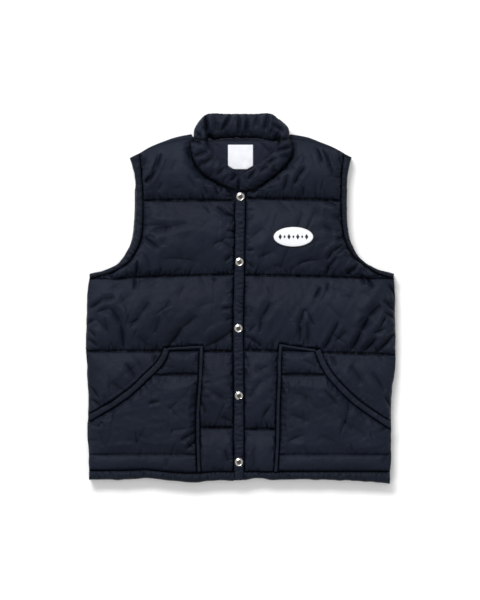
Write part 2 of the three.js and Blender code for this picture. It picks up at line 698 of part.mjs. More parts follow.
function pocketPanel(side) {
  const { direction, innerCurve, openingCurve } = pocketLines(side);
  const sideEdge = sideCurve(side);
  const inset = (POCKET_BINDING_WIDTH + GAP) * direction;
  const openingInset = (POCKET_OPENING_WIDTH / 2 + GAP) * direction;
  const lower = openingCurve.getPoint(0).y - POCKET_OPENING_WIDTH;
  const opening = curveOf(offsetLine(openingCurve.getPoints(24), -openingInset));
  const outerX = (y) => {
    if (y < lower) return pointAtY(sideEdge, y).x;
    const onOpening = pointAtY(opening, y).x;
    const onSide = pointAtY(sideEdge, y).x;
    return direction > 0 ? Math.max(onOpening, onSide) : Math.min(onOpening, onSide);
  };
  const grid = POCKET_ROWS.map(({ y }) => {
    const outer = vec(outerX(y), y);
    const inner = vec(pointAtY(innerCurve, y).x - inset, y);
    return ACROSS.map((across) => outer.clone().lerp(inner, across));
  });
  const height = (i, j) => {
    const length = grid[i][0].distanceTo(grid[i].at(-1));
    const reach = POCKET_ROWS[i].y < lower ? SIDE_ROUNDING : SEAM_ROUNDING;
    const round = roundRise(ACROSS[j] * length, reach) * roundRise((1 - ACROSS[j]) * length, SEAM_ROUNDING);
    return OVERLAY_Z + EDGE_THICKNESS + round * POCKET_LOFT * POCKET_ROWS[i].fill;
  };
  return gridSolid(grid, height, OVERLAY_Z);
}

// The line of the pocket's inner and top edges, turning at the corner
function pocketCornerLine(side) {
  const { innerCurve, topOuter } = pocketLines(side);
  const inner = stretch(innerCurve, POCKET_SEAM_Y.bottom, innerCurve.getPoint(1).y, shares(14));
  const top = shares(5).slice(1).map((share) => inner.at(-1).clone().lerp(topOuter, share));
  return [...inner, ...top];
}

// A strip beside a line, as wide as width, to the left of its direction where width is above 0
const bindingBeside = (line, width) =>
  stripSolid(line, offsetLine(line, width), FLAT_SECTION, OVERLAY_Z, POCKET_BINDING_HEIGHT);

// The room that such a strip takes, with the gap round it
function roomBeside(line, width) {
  const margin = Math.sign(width) * GAP;
  const near = offsetLine(line, -margin);
  const far = offsetLine(line, width + margin);
  return prism([...near, ...far.reverse()], OVERLAY_Z - GAP, ABOVE_ALL);
}

// The lower edge of the binding on the pocket's slanted opening
function pocketOpeningLine(side) {
  const { direction, openingCurve } = pocketLines(side);
  return offsetLine(openingCurve.getPoints(20), (-direction * POCKET_OPENING_WIDTH) / 2);
}

// The room that a pocket takes out of the front it lies on, inside the lines of its bindings
function pocketRoom(side) {
  const { direction, innerCurve, openingCurve, topOuter } = pocketLines(side);
  const below = POCKET_SEAM_Y.bottom - 10;
  const inner = stretch(innerCurve, below, innerCurve.getPoint(1).y, shares(12));
  const opening = openingCurve.getPoints(20).slice(0, -1).reverse();
  const outsideX = opening.at(-1).x - direction * 20;
  const outside = [vec(outsideX, opening.at(-1).y), vec(outsideX, below)];
  return prism([...inner, topOuter, ...opening, ...outside], OVERLAY_Z - GAP, ABOVE_ALL);
}

function snapCap() {
  // Radius and height of the cap's section, from its underside round its rim to the middle of its top
  const profile = [
    [0, 0],
    [SNAP_RADIUS - 1, 0],
    [SNAP_RADIUS, 0.8],
    [SNAP_RADIUS - 0.3, 1.8],
    [SNAP_RADIUS - 1.6, 2.3],
    [SNAP_RADIUS - 3, 2.5],
    [0, 2.8],
  ];
  const section = profile.map(([radius, height]) => vec(radius, height));
  return new THREE.LatheGeometry(section, 20).rotateX(Math.PI / 2);
}

function neckLabel() {
  const { width, height, corner, x, y, thickness } = LABEL;
  const right = x + width / 2;
  const left = x - width / 2;
  const top = y + height / 2;
  const bottom = y - height / 2;
  const cornerRise = corner * 0.6;
  const outline = [
    vec(left, top),
    vec(left, bottom + cornerRise),
    vec(left + corner, bottom),
    vec(right - corner, bottom),
    vec(right, bottom + cornerRise),
    vec(right, top),
  ];
  const z = FRONT_Z + LINING_THICKNESS + GAP;
  return prism(outline, z, z + thickness);
}

// An oval layer of the chest patch, made from the surface of the panel that it lies on
function patchLayer(panel, outerScale, innerScale, thickness) {
  const { halfWidth, halfHeight, x, y } = PATCH;
  const oval = (scale) =>
    shares(40).slice(1).map((share) => {
      const angle = 2 * Math.PI * share;
      return vec(x + scale * halfWidth * Math.cos(angle), y + scale * halfHeight * Math.sin(angle));
    });
  const raised = (rise) => solidOf(panel.clone().translate(0, 0, rise));
  let solid = solidOf(prism(oval(outerScale), FRONT_Z, ABOVE_ALL)).intersect(raised(GAP + thickness));
  if (innerScale > 0) solid = solid.subtract(solidOf(prism(oval(innerScale), 0, ABOVE_ALL)));
  return solid.subtract(raised(GAP));
}

const chestPatch = (panel) =>
  geometryOfSolid(
    patchLayer(panel, 1, 0, PATCH.thickness).add(patchLayer(panel, 1, 0.94, PATCH.thickness + PATCH.rim)),
  );

const collarRoom = collarSolid(GAP + 0.15);
const topSnapRoom = prism(
  [
    vec(-PLACKET_WIDTH / 2 - 1, SEAM_Y.chest),
    vec(PLACKET_WIDTH / 2 + 1, SEAM_Y.chest),
    vec(PLACKET_WIDTH / 2 + 1, PLACKET.at(-1).y + 2),
    vec(-PLACKET_WIDTH / 2 - 1, PLACKET.at(-1).y + 2),
  ],
  OVERLAY_Z - GAP,
  ABOVE_ALL,
);

addPiece('back_panel', cut(backPanel(), collarRoom), cloth());
addPiece('back_hem_band', backHemBand(), cloth(0.95));
addPiece('back_lining', cut(backLining(), collarRoom), cloth(1.15));
addPiece('neck_label', neckLabel(), whiteTwill());
addPiece('collar', collarSolid(0), cloth());
addPiece('placket', cut(placket(), collarRoom), cloth());
for (const side of ['right', 'left']) {
  const direction = inwardFrom(side);
  const corner = [pocketCornerLine(side), direction * POCKET_BINDING_WIDTH];
  const opening = [pocketOpeningLine(side), direction * POCKET_OPENING_WIDTH];
  const cornerRoom = roomBeside(...corner);
  const openingRoom = roomBeside(...opening);
  const rooms = [pocketRoom(side), cornerRoom, openingRoom, collarRoom, topSnapRoom];
  const panel = cut(frontPanel(side), ...rooms);
  addPiece(`${side}_front`, panel, cloth());
  if (side === 'left') addPiece('chest_patch', chestPatch(panel), whiteTwill());
  addPiece(`${side}_pocket`, cut(pocketPanel(side), cornerRoom, openingRoom), cloth(1.05));
  addPiece(`${side}_pocket_binding`, bindingBeside(...corner), cloth(0.95));
  addPiece(`${side}_pocket_opening_binding`, cut(bindingBeside(...opening), cornerRoom), cloth(0.95));
  addPiece(`${side}_front_armhole_binding`, frontBinding(side), cloth(0.95));
  addPiece(`${side}_back_armhole_binding`, backBinding(side), cloth(0.95));

  const placketSide = PLACKET[0].x - direction * (PLACKET_WIDTH / 2 + GAP);
  const [from, to] = [SIDES[1][side], placketSide].sort((a, b) => a - b);
  addPiece(`${side}_front_hem_band`, frontHemBand(from, to), cloth(0.95));
}
SNAP_Y.forEach((y, k) => {
  const cap = snapCap().translate(pointAtY(placketCurve, y).x, y, OVERLAY_Z + PLACKET_HEIGHT + GAP);
  addPiece(`snap_${k + 1}`, cap, nickel());
});

// The origin is under the middle of the outline, on the surface.
const middle = new THREE.Box3().setFromObject(vest).getCenter(new THREE.Vector3());
vest.position.set(-middle.x, -middle.y, 0);

export default vest;
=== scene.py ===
"""A quilted puffer vest laid flat on a pale floor, seen from straight above.

Lengths here are in millimetres, and MM turns them into Blender's metres. The pieces follow the same
lines as the frame's solids: X to the wearer's left, Y to the collar, Z up off the floor.
"""

import math

import bpy
import numpy as np
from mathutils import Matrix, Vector
from mathutils.bvhtree import BVHTree


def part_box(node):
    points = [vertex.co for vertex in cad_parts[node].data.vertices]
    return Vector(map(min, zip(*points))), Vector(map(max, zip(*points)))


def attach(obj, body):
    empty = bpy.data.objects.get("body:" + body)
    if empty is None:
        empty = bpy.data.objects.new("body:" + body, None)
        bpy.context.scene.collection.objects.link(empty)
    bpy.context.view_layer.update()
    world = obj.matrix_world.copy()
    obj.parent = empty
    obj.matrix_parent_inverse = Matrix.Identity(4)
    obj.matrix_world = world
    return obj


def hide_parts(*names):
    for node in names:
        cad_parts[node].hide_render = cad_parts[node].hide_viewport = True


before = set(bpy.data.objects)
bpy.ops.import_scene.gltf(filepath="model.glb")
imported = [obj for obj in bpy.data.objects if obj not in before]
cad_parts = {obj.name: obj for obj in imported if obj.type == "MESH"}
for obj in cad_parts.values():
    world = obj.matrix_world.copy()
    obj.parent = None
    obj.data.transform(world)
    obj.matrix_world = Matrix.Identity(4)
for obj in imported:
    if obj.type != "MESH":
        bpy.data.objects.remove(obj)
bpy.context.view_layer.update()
MM = 0.001

# The solids were moved a little to centre their outline, and the label was drawn at 0, 270.
label_low, label_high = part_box("neck_label")
SHIFT = np.array([(label_low[0] + label_high[0]) / 2, (label_low[1] + label_high[1]) / 2, 0]) / MM
SHIFT -= [0, 270, 0]

# Heights and widths, as in the frame's solids
BACK_TOP = 18.0
GAP = 0.3
FRONT_Z = BACK_TOP + GAP
EDGE = 2.0
SEAM = 4.0
LOFT = 15.0
OVERLAY_Z = FRONT_Z + 3 + GAP
SIDE_REACH = 34
SEAM_REACH = 6
NECK_REACH = 14
POCKET_REACH = 4
SEAM_Y = {"hem": -333, "lower": -248, "waist": -98, "underarm": 44, "chest": 191}

# How far each seam of a front, from the hem up, lies from SEAM_Y at the placket and at the side
SEAM_SHIFT = {
    "right": [(0, 0), (0, 0), (-4, -4), (1.5, 0), (-4, -4), (0, 0)],
    "left": [(0, 0), (-3, -3), (-2, -11), (0, 0), (0, -4), (0, 0)],
}
# X, and how far the seam of the hem band lies from SEAM_Y there
HEM_SEAM = [(-290, 2), (-220, 2), (-183, 4), (-145, 0), (-107, -3), (-85, -2.5), (-50, 0), (290, 0)]
UNDERARM_CORNER_Y = 38
PLACKET_WIDTH = 19
SNAP_Y = [-314, -187, -58, 69, 194]


# Plan curves, as rows of x and y, or of x, y and z
def spline(points, steps=12):
    """A Catmull-Rom curve through points, with a number of steps in each stretch."""
    rows = [np.array(p, float) for p in points]
    out = []
    for k in range(len(rows) - 1):
        p1, p2 = rows[k], rows[k + 1]
        v0 = (p2 - rows[max(k - 1, 0)]) / 2
        v1 = (rows[min(k + 2, len(rows) - 1)] - p1) / 2
        for step in range(steps):
            t = step / steps
            cubic = (2 * p1 - 2 * p2 + v0 + v1) * t**3
            square = (3 * p2 - 3 * p1 - 2 * v0 - v1) * t**2
            out.append(cubic + square + v0 * t + p1)
    out.append(rows[-1])
    return np.array(out)


def run_length(line):
    """How far along a line each of its points is."""
    return np.concatenate([[0], np.cumsum(np.linalg.norm(np.diff(line, axis=0), axis=1))])


def points_at(line, far, want):
    """The places on a line, whose points are as far along it as far says, at the lengths wanted."""
    return np.column_stack([np.interp(want, far, column) for column in line.T])


def resample(line, count):
    """Points at even spacing along a line."""
    far = run_length(line)
    return points_at(line, far, np.linspace(0, far[-1], count))


def stretch(line, low, high, count):
    """Evenly spaced points of a line that rises in y, from one height to another."""
    ends = [[np.interp(y, line[:, 1], line[:, 0]), y] for y in (low, high)]
    inside = line[(line[:, 1] > low + 0.01) & (line[:, 1] < high - 0.01)]
    return resample(np.vstack([ends[0], inside, ends[1]]), count)


def offset(line, distance):
    """A plan line moved to the left of its direction."""
    ahead = np.gradient(line[:, :2], axis=0)
    ahead /= np.linalg.norm(ahead, axis=1)[:, None]
    return line[:, :2] + np.column_stack([-ahead[:, 1], ahead[:, 0]]) * distance


def distance_to(points, line):
    """How far plan points are from a line."""
    best = np.full(len(points), 1e9)
    for a, b in zip(line[:-1], line[1:]):
        ab = b - a
        t = np.clip(((points - a) @ ab) / max(ab @ ab, 1e-12), 0, 1)
        best = np.minimum(best, np.linalg.norm(points - a - t[:, None] * ab, axis=1))
    return best


def inside(points, loop):
    """Which plan points lie inside a closed outline."""
    hit = np.zeros(len(points), bool)
    for a, b in zip(loop, np.roll(loop, -1, axis=0)):
        if a[1] == b[1]:
            continue
        crosses = (points[:, 1] < a[1]) != (points[:, 1] < b[1])
        x = a[0] + (points[:, 1] - a[1]) * (b[0] - a[0]) / (b[1] - a[1])
        hit ^= crosses & (points[:, 0] < x)
    return hit


def round_rise(distance, reach):
    return np.sqrt(1 - (1 - np.clip(distance / reach, 0, 1)) ** 2)


def hat(distance, width):
    """A smooth bump of height 1, which falls off over a width."""
    return np.exp(-((distance / width) ** 2))


def smooth_noise(points, size, seed):
    """Soft noise from -1 to 1 over plan points, with bumps of about a given size."""
    own = np.random.default_rng(seed)
    total = np.zeros(len(points))
    for _ in range(10):
        angle = own.uniform(0, 2 * math.pi)
        wave = 2 * math.pi / (size * own.uniform(0.7, 1.5))
        along = points[:, 0] * math.cos(angle) + points[:, 1] * math.sin(angle)
        total += np.sin(along * wave + own.uniform(0, 2 * math.pi))
    return total / 4.5


SIDES = {
    "right": [(-289, -352), (-290, -338), (-291, -295), (-293.5, -242), (-291, -203), (-293.5, -150),
              (-296, -90), (-295, -45), (-293.5, 8), (-289, 38)],
    "left": [(285, -352), (286, -338), (288.5, -300), (288, -242), (288.5, -203), (291.5, -165),
             (295, -140), (297, -105), (296, -40), (296, 10), (294, 38)],
}
ARMHOLE_EDGE = {
    "right": [(-289, 47), (-262, 53), (-232, 69), (-209, 108), (-203, 144), (-201, 192),
              (-203, 235), (-212, 268)],
    "left": [(294, 47), (261, 56), (231, 75), (212, 106), (205, 140), (204, 192), (206, 240), (213, 269)],
}
ARMHOLE_SEAM = {
    "right": [(-289, 38), (-245, 50), (-215, 69), (-196, 99), (-188, 132), (-187, 192),
              (-189, 235), (-194, 277)],
    "left": [(293, 38), (258, 50), (223, 75), (205, 101), (196, 136), (193, 192), (194, 240), (199, 276)],
}
SHOULDER_FOLD = {
    "right": [(-194, 277), (-174, 289), (-150, 299), (-124, 308), (-94, 314)],
    "left": [(199, 277), (177, 289), (152, 299), (128, 308), (95, 314)],
}
SHOULDER_SEAM = {
    "right": [(-194, 276), (-174, 286), (-150, 294), (-124, 301), (-94, 305)],
    "left": [(199, 276), (177, 286), (152, 294), (128, 301), (95, 305)],
}
NECK_SEAM = {
    "right": [(-24, 211), (-44, 221), (-69, 235), (-86, 254), (-95, 277), (-96, 295), (-94, 305)],
    "left": [(12, 205), (25, 208), (49, 223), (75, 243), (92, 263), (99, 281), (97, 297), (95, 305)],
}
HEM = [(-290, -348), (-216, -348), (-180, -345), (-124, -351), (-85, -353), (-55, -350), (0, -349.5),
       (36, -344.5), (60, -348.5), (107, -347.5), (200, -349.5), (250, -352.5), (286, -356)]
PLACKET = spline([(-3, -349), (-3, -314), (-3, -187), (-4, -57), (-2, 69), (0, 202)])
POCKET_INNER = {
    "right": [(-75.5, -340), (-78, -263), (-77.5, -215), (-74, -167), (-72, -120), (-71.5, -91)],
    "left": [(63, -340), (65.5, -311), (68, -263), (68.5, -215), (70.5, -167), (71.5, -119), (74, -88)],
}
POCKET_OPENING = {
    "right": [(-292, -231), (-268, -217), (-240, -200), (-212, -180), (-184, -154), (-160, -131),
              (-149, -116), (-141, -97)],
    "left": [(292, -247), (258, -225), (228, -204), (210, -189), (180, -158), (161, -131), (148, -100)],
}
POCKET_TOP = {"right": (-140, -95), "left": (144, -98)}
POCKET_BINDING_WIDTH = 7
POCKET_OPENING_WIDTH = 12


def hem_wave(x):
    """How far the seam of the hem band rises or dips."""
    return np.interp(x, *np.transpose(HEM_SEAM))


def side_line(side):
    """A side edge of the vest, which waves a little between its seams."""
    line = resample(spline(SIDES[side]), 200)
    wave = smooth_noise(line * [0, 1] + [50 if side == "right" else 90, 0], 34, 3)
    line[:, 0] += 0.7 * wave
    return line


def inward_from(side):
    """The sign of X from a side towards the middle."""
    return 1 if side == "right" else -1


# Materials
def node_material(name, roughness, metallic=0.0):
    material = bpy.data.materials.new(name)
    material.use_nodes = True
    shader = material.node_tree.nodes["Principled BSDF"]
    shader.inputs["Roughness"].default_value = roughness
    shader.inputs["Metallic"].default_value = metallic
    return material, material.node_tree, shader


def linear(red, green, blue):
    """A colour given in 0 to 255 on screen, as the shader's linear values."""
    def one(value):
        share = value / 255
        return share / 12.92 if share <= 0.04045 else ((share + 0.055) / 1.055) ** 2.4
    return (one(red), one(green), one(blue), 1)


def mapped(tree, scale):
    place = tree.nodes.new("ShaderNodeTexCoord")
    mapping = tree.nodes.new("ShaderNodeMapping")
    mapping.inputs["Scale"].default_value = scale
    tree.links.new(place.outputs["Object"], mapping.inputs["Vector"])
    return mapping.outputs["Vector"]


def noise_node(tree, scale, detail, stretch_by=(1, 1, 1)):
    node = tree.nodes.new("ShaderNodeTexNoise")
    node.inputs["Scale"].default_value = scale
    node.inputs["Detail"].default_value = detail
    tree.links.new(mapped(tree, stretch_by), node.inputs["Vector"])
    return node.outputs["Fac"]


def wave_node(tree, direction, thread):
    """Fine ridges across a direction, one a thread."""
    node = tree.nodes.new("ShaderNodeTexWave")
    node.bands_direction = direction
    node.inputs["Scale"].default_value = 0.314 / thread
    node.inputs["Distortion"].default_value = 0.4
    node.inputs["Detail"].default_value = 1
    tree.links.new(mapped(tree, (1, 1, 1)), node.inputs["Vector"])
    return node.outputs["Fac"]


def math_node(tree, operation, a, b):
    node = tree.nodes.new("ShaderNodeMath")
    node.operation = operation
    for socket, value in zip(node.inputs, (a, b)):
        if isinstance(value, (int, float)):
            socket.default_value = value
        else:
            tree.links.new(value, socket)
    return node.outputs[0]


def ramp_colour(tree, factor, dark, light, low=0.35, high=0.65):
    node = tree.nodes.new("ShaderNodeValToRGB")
    node.color_ramp.elements[0].position = low
    node.color_ramp.elements[0].color = dark
    node.color_ramp.elements[1].position = high
    node.color_ramp.elements[1].color = light
    tree.links.new(factor, node.inputs["Fac"])
    return node.outputs["Color"]


def bump(tree, shader, height, strength, distance):
    node = tree.nodes.new("ShaderNodeBump")
    node.inputs["Strength"].default_value = strength
    node.inputs["Distance"].default_value = distance
    tree.links.new(height, node.inputs["Height"])
    tree.links.new(node.outputs["Normal"], shader.inputs["Normal"])


# How far the painted shade, which stands in for less light in folds, seams and hollows, darkens the base colour
# at most
PAINTED_SHADE_STRENGTH = 0.85


def nylon(name, dark, light, roughness):
    """Satin nylon: a fine plain weave, small crinkles, a soft change of tone, and painted shade that darkens the
    base colour where the mesh's attribute of painted shade says.
    """
    material, tree, shader = node_material(name, roughness)
    speckle = math_node(tree, "MULTIPLY", noise_node(tree, 160, 2), 0.25)
    tone = math_node(tree, "ADD", noise_node(tree, 9, 3), speckle)
    # Painted shade: the base colour is scaled down by the mesh's attribute of painted shade
    painted_shade_attribute = tree.nodes.new("ShaderNodeAttribute")
    painted_shade_attribute.attribute_name = "fold_and_painted_shade"
    dimmed = math_node(tree, "MULTIPLY", painted_shade_attribute.outputs["Fac"], PAINTED_SHADE_STRENGTH)
    kept = math_node(tree, "SUBTRACT", 1, dimmed)
    painted_shade_colour = tree.nodes.new("ShaderNodeVectorMath")
    painted_shade_colour.operation = "SCALE"
    tree.links.new(ramp_colour(tree, tone, dark, light, 0.4, 0.85), painted_shade_colour.inputs["Vector"])
    tree.links.new(kept, painted_shade_colour.inputs["Scale"])
    tree.links.new(painted_shade_colour.outputs["Vector"], shader.inputs["Base Color"])
    gloss = tree.nodes.new("ShaderNodeMapRange")
    gloss.inputs["To Min"].default_value = roughness - 0.07
    gloss.inputs["To Max"].default_value = roughness + 0.09
    tree.links.new(noise_node(tree, 40, 3), gloss.inputs["Value"])
    tree.links.new(gloss.outputs["Result"], shader.inputs["Roughness"])
    shader.inputs["Specular IOR Level"].default_value = 0.05
    weave = math_node(tree, "MULTIPLY", wave_node(tree, "X", 0.0005), wave_node(tree, "Y", 0.0005))
    crinkle = math_node(tree, "ADD", math_node(tree, "MULTIPLY", noise_node(tree, 75, 4), 3.0),
                        math_node(tree, "MULTIPLY", noise_node(tree, 230, 3), 1.0))
    bump(tree, shader, math_node(tree, "ADD", math_node(tree, "MULTIPLY", weave, 0.25), crinkle), 0.55, 0.0005)
    return material


SHELL = nylon("shell_nylon", linear(22, 26, 36), linear(27, 32, 44), 0.42)
TRIM = nylon("binding_nylon", linear(22, 26, 35), linear(27, 32, 43), 0.45)
LINING = nylon("lining_nylon", linear(26, 29, 41), linear(31, 35, 49), 0.42)


def white_twill():
    material, tree, shader = node_material("white_twill", 0.8)
    rib = tree.nodes.new("ShaderNodeTexWave")
    rib.bands_direction = "DIAGONAL"
    rib.inputs["Scale"].default_value = 260
    rib.inputs["Distortion"].default_value = 0.3
    tree.links.new(mapped(tree, (1, 1, 0)), rib.inputs["Vector"])
    shade = ramp_colour(tree, rib.outputs["Fac"], linear(206, 207, 212), linear(228, 229, 234), 0.1, 0.7)
    tree.links.new(shade, shader.inputs["Base Color"])
    bump(tree, shader, rib.outputs["Fac"], 0.4, 0.0003)
    return material


def thread(name, dark, light):
    material, tree, shader = node_material(name, 0.62)
    twist = noise_node(tree, 900, 2)
    tree.links.new(ramp_colour(tree, twist, dark, light), shader.inputs["Base Color"])
    bump(tree, shader, twist, 0.5, 0.0002)
    return material


def nickel():
    material, tree, shader = node_material("nickel", 0.2, 1.0)
    # Painted reflection: the middle of each snap is painted darker, as a dark reflection, from the mesh's
    # attribute of painted shade
    painted_reflection = tree.nodes.new("ShaderNodeAttribute")
    painted_reflection.attribute_name = "fold_and_painted_shade"
    tone = ramp_colour(tree, painted_reflection.outputs["Fac"], linear(226, 223, 216), linear(164, 161, 156), 0, 1)
    tree.links.new(tone, shader.inputs["Base Color"])
    worn = tree.nodes.new("ShaderNodeMapRange")
    worn.inputs["To Min"].default_value = 0.14
    worn.inputs["To Max"].default_value = 0.32
    tree.links.new(noise_node(tree, 350, 4), worn.inputs["Value"])
    tree.links.new(worn.outputs["Result"], shader.inputs["Roughness"])
    bump(tree, shader, noise_node(tree, 900, 3), 0.12, 0.0001)
    return material


TWILL = white_twill()
NAVY_THREAD = thread("navy_thread", linear(13, 15, 21), linear(22, 25, 34))
DARK_THREAD = thread("dark_thread", linear(5, 6, 8), linear(14, 15, 18))
NICKEL = nickel()


# Meshes
def make_piece(name, points, faces, material, node_names, smooth=True, fold_and_painted_shade=None):
    """A Blender object from points in millimetres, which stands for the named CAD nodes.

    The last argument is painted shade, from 0 to 1, which darkens the base colour of each point in folds, seams
    and shaded hollows, where less light reaches the cloth; on the snaps it is a painted dark reflection in their
    middle.
    """
    mesh = bpy.data.meshes.new(name)
    mesh.from_pydata(((np.asarray(points, float) + SHIFT) * MM).tolist(), [], faces)
    mesh.validate()
    # Painted shade, stored as a point attribute that the materials read to darken the base colour
    if fold_and_painted_shade is not None:
        values = np.zeros(len(mesh.vertices))
        values[: len(fold_and_painted_shade)] = np.clip(fold_and_painted_shade, 0, 1)
        mesh.attributes.new("fold_and_painted_shade", "FLOAT", "POINT").data.foreach_set("value", values)
    mesh.polygons.foreach_set("use_smooth", [smooth] * len(mesh.polygons))
    mesh.materials.append(material)
    piece = bpy.data.objects.new(name, mesh)
    bpy.context.scene.collection.objects.link(piece)
    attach(piece, "root")
    if node_names:
        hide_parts(*node_names)
    return piece


def grid_faces(rows, columns, wrap=False, start=0):
    i = np.arange(rows - 1)[:, None] * columns
    j = np.arange(columns if wrap else columns - 1)[None, :]
    a = i + j
    b = i + (j + 1) % columns
    return (np.stack([a, b, b + columns, a + columns], axis=-1).reshape(-1, 4) + start).tolist()


def tube_faces(rings, around, start=0):
    """A closed tube of rings of points, with a flat face at both ends."""
    faces = grid_faces(rings, around, wrap=True, start=start)
    faces.append([start + k for k in range(around - 1, -1, -1)])
    faces.append([start + (rings - 1) * around + k for k in range(around)])
    return faces


def upward_faces(side, rows, columns):
    """Faces that look up, as the padding pushes. The left side's grids run the other way round."""
    faces = grid_faces(rows, columns)
    return [face[::-1] for face in faces] if side == "left" else faces


def grid_border(rows, columns):
    """The points round the border of a grid."""
    border = list(range(columns)) + [i * columns + columns - 1 for i in range(1, rows)]
    border += [(rows - 1) * columns + j for j in range(columns - 2, -1, -1)]
    return border + [i * columns for i in range(rows - 2, 0, -1)]


def rings_solid(top, under, rings, around):
    """Two sheets made of rings, one over the other, joined along their outer rings."""
    count = len(top)
    faces = [face[::-1] for face in grid_faces(rings, around, wrap=True)]
    faces += grid_faces(rings, around, wrap=True, start=count)
    outer = (rings - 1) * around
    for k in range(around):
        a, b = outer + k, outer + (k + 1) % around
        faces.append([b, a, a + count, b + count])
    faces.append(list(range(around)))
    faces.append([count + k for k in range(around - 1, -1, -1)])
    return np.vstack([top, under]), faces


def closed_pad(grid, under_z):
    """A shaped grid of points over a plain flat underside, as points and faces."""
    rows, columns = grid.shape[:2]
    faces = grid_faces(rows, columns)
    border = grid_border(rows, columns)
    points = grid.reshape(-1, 3)
    base = points[border].copy()
    base[:, 2] = under_z
    first = rows * columns
    count = len(border)
    for k in range(count):
        after = (k + 1) % count
        faces.append([border[k], first + k, first + after, border[after]])
    faces.append([first + k for k in range(count - 1, -1, -1)])
    loop = points[border][:, :2]
    area = np.sum(loop[:, 0] * np.roll(loop[:, 1], -1) - np.roll(loop[:, 0], -1) * loop[:, 1])
    if area < 0:
        faces = [face[::-1] for face in faces]
    return np.vstack([points, base]), faces


def halved(grid):
    """A grid with a new row, on a smooth curve, between every two rows."""
    padded = np.concatenate([2 * grid[:1] - grid[1:2], grid, 2 * grid[-1:] - grid[-2:-1]])
    between = (9 * (padded[1:-2] + padded[2:-1]) - padded[:-3] - padded[3:]) / 16
    out = np.empty((2 * len(grid) - 1, *grid.shape[1:]))
    out[::2] = grid
    out[1::2] = between
    return out


def finer_grid(grid):
    """A grid with twice as many steps each way."""
    return halved(halved(grid).transpose(1, 0, 2)).transpose(1, 0, 2)


def smoothed_across(grid, width):
    """A grid averaged along its rows, over a number of points."""
    half = width // 2
    padded = np.concatenate([grid[:, :1]] * half + [grid] + [grid[:, -1:]] * half, axis=1)
    total = np.cumsum(np.concatenate([np.zeros_like(padded[:, :1]), padded], axis=1), axis=1)
    return (total[:, width:] - total[:, :-width]) / width


def puckers(flat, line, towards, seed, spacing, length, deep):
    """The depth of small folds that start at a seam and run to one side of it.

    towards is 1 for the left of the seam's direction and -1 for the right.
    """
    own = np.random.default_rng(seed)
    far = run_length(line)
    depth = np.zeros(len(flat))
    at = own.uniform(0, spacing[1])
    while at < far[-1]:
        behind, start, ahead = points_at(line, far, [at - 2, at, at + 2])
        turn = math.atan2(*(ahead - behind)[::-1]) + towards * math.pi / 2 + own.normal(0, 0.4)
        way = np.array([math.cos(turn), math.sin(turn)])
        aside = np.array([-math.sin(turn), math.cos(turn)])
        reach = own.uniform(*length)
        size = own.uniform(*deep)
        near = np.nonzero(np.abs(flat - start).max(axis=1) < reach + 6)[0]
        along = (flat[near] - start) @ way / reach
        side = np.abs((flat[near] - start) @ aside - own.normal(0, 1.5) * along**2)
        width = 1.1 + 2.2 * np.clip(along, 0, 1)
        fade = np.clip(1 - along, 0, 1) ** 0.8 * np.clip(along * 6 + 0.6, 0, 1)
        fold_and_painted_shade = np.exp(-side / (0.85 * width)) - 0.35 * hat(side - 2 * width, width)
        depth[near] += size * fade * fold_and_painted_shade
        at += spacing[0] + (spacing[1] - spacing[0]) * own.random() ** 1.8
    return depth


# Cloth simulation
SIM_SCALE = 10  # the cloth is simulated at ten times its size, which suits the solver
SIM_FRAMES = 18


def settle(points, faces, pinned, grow, growth, cap, pressure=3.0):
    """Simulates the cloth of a padded piece, which is a little larger than its seams leave room for.

    pinned and grow are one number a point, from 0 to 1. No point moves further than cap.
    """
    mesh = bpy.data.meshes.new("simulated")
    mesh.from_pydata((points * MM * SIM_SCALE).tolist(), [], faces)
    cloth = bpy.data.objects.new("simulated", mesh)
    bpy.context.scene.collection.objects.link(cloth)
    for name, values in (("pinned", pinned), ("snug", 1 - grow)):
        group = cloth.vertex_groups.new(name=name)
        rounded = np.round(values, 2)
        for share in np.unique(rounded):
            group.add(np.nonzero(rounded == share)[0].tolist(), float(share), "REPLACE")
    modifier = cloth.modifiers.new("Cloth", "CLOTH")
    settings = modifier.settings
    settings.quality = 5
    settings.mass = 0.004
    settings.tension_stiffness = settings.compression_stiffness = 25
    settings.shear_stiffness = 12
    settings.bending_stiffness = 0.1
    settings.air_damping = 1
    settings.vertex_group_mass = "pinned"
    settings.vertex_group_shrink = "snug"
    settings.shrink_min = -growth
    settings.shrink_max = 0
    settings.use_pressure = True
    settings.uniform_pressure_force = pressure
    settings.effector_weights.gravity = 0
    modifier.collision_settings.use_collision = False
    modifier.point_cache.frame_end = SIM_FRAMES
    for step in range(1, SIM_FRAMES + 1):
        bpy.context.scene.frame_set(step)
    settled = cloth.evaluated_get(bpy.context.evaluated_depsgraph_get())
    moved = np.empty(len(points) * 3)
    settled.data.vertices.foreach_get("co", moved)
    moved = moved.reshape(-1, 3) / (MM * SIM_SCALE) - points
    bpy.context.scene.frame_set(1)
    bpy.data.objects.remove(cloth)
    bpy.data.meshes.remove(mesh)
    length = np.linalg.norm(moved, axis=1)
    print(f"settled: {np.median(length):.1f} mm for half of the cloth, {length.max():.1f} mm at most")
    return points + moved * np.minimum(1, cap / np.maximum(length, 1e-9))[:, None]


# Fronts
def pocket_outline(side, margin):
    """The outline of a pocket with its bindings, grown by a margin."""
    inward = inward_from(side)
    inner = offset(spline(POCKET_INNER[side]), -inward * margin)
    opening = offset(spline(POCKET_OPENING[side]), inward * (POCKET_OPENING_WIDTH / 2 + margin))
    top = np.array(POCKET_TOP[side]) + [-inward * margin, margin]
    corner = inner[-1] + [0, margin]
    far = opening[0] - [inward * 40, 0]
    low = np.array([[far[0], -345]])
    return np.vstack([inner[:-1], corner, top, opening[::-1], far, low])


FRONT_COLUMNS = 120
FRONT_ROWS = {"hem": 26, "lower": 47, "waist": 46, "underarm": 54, "chest": 36}


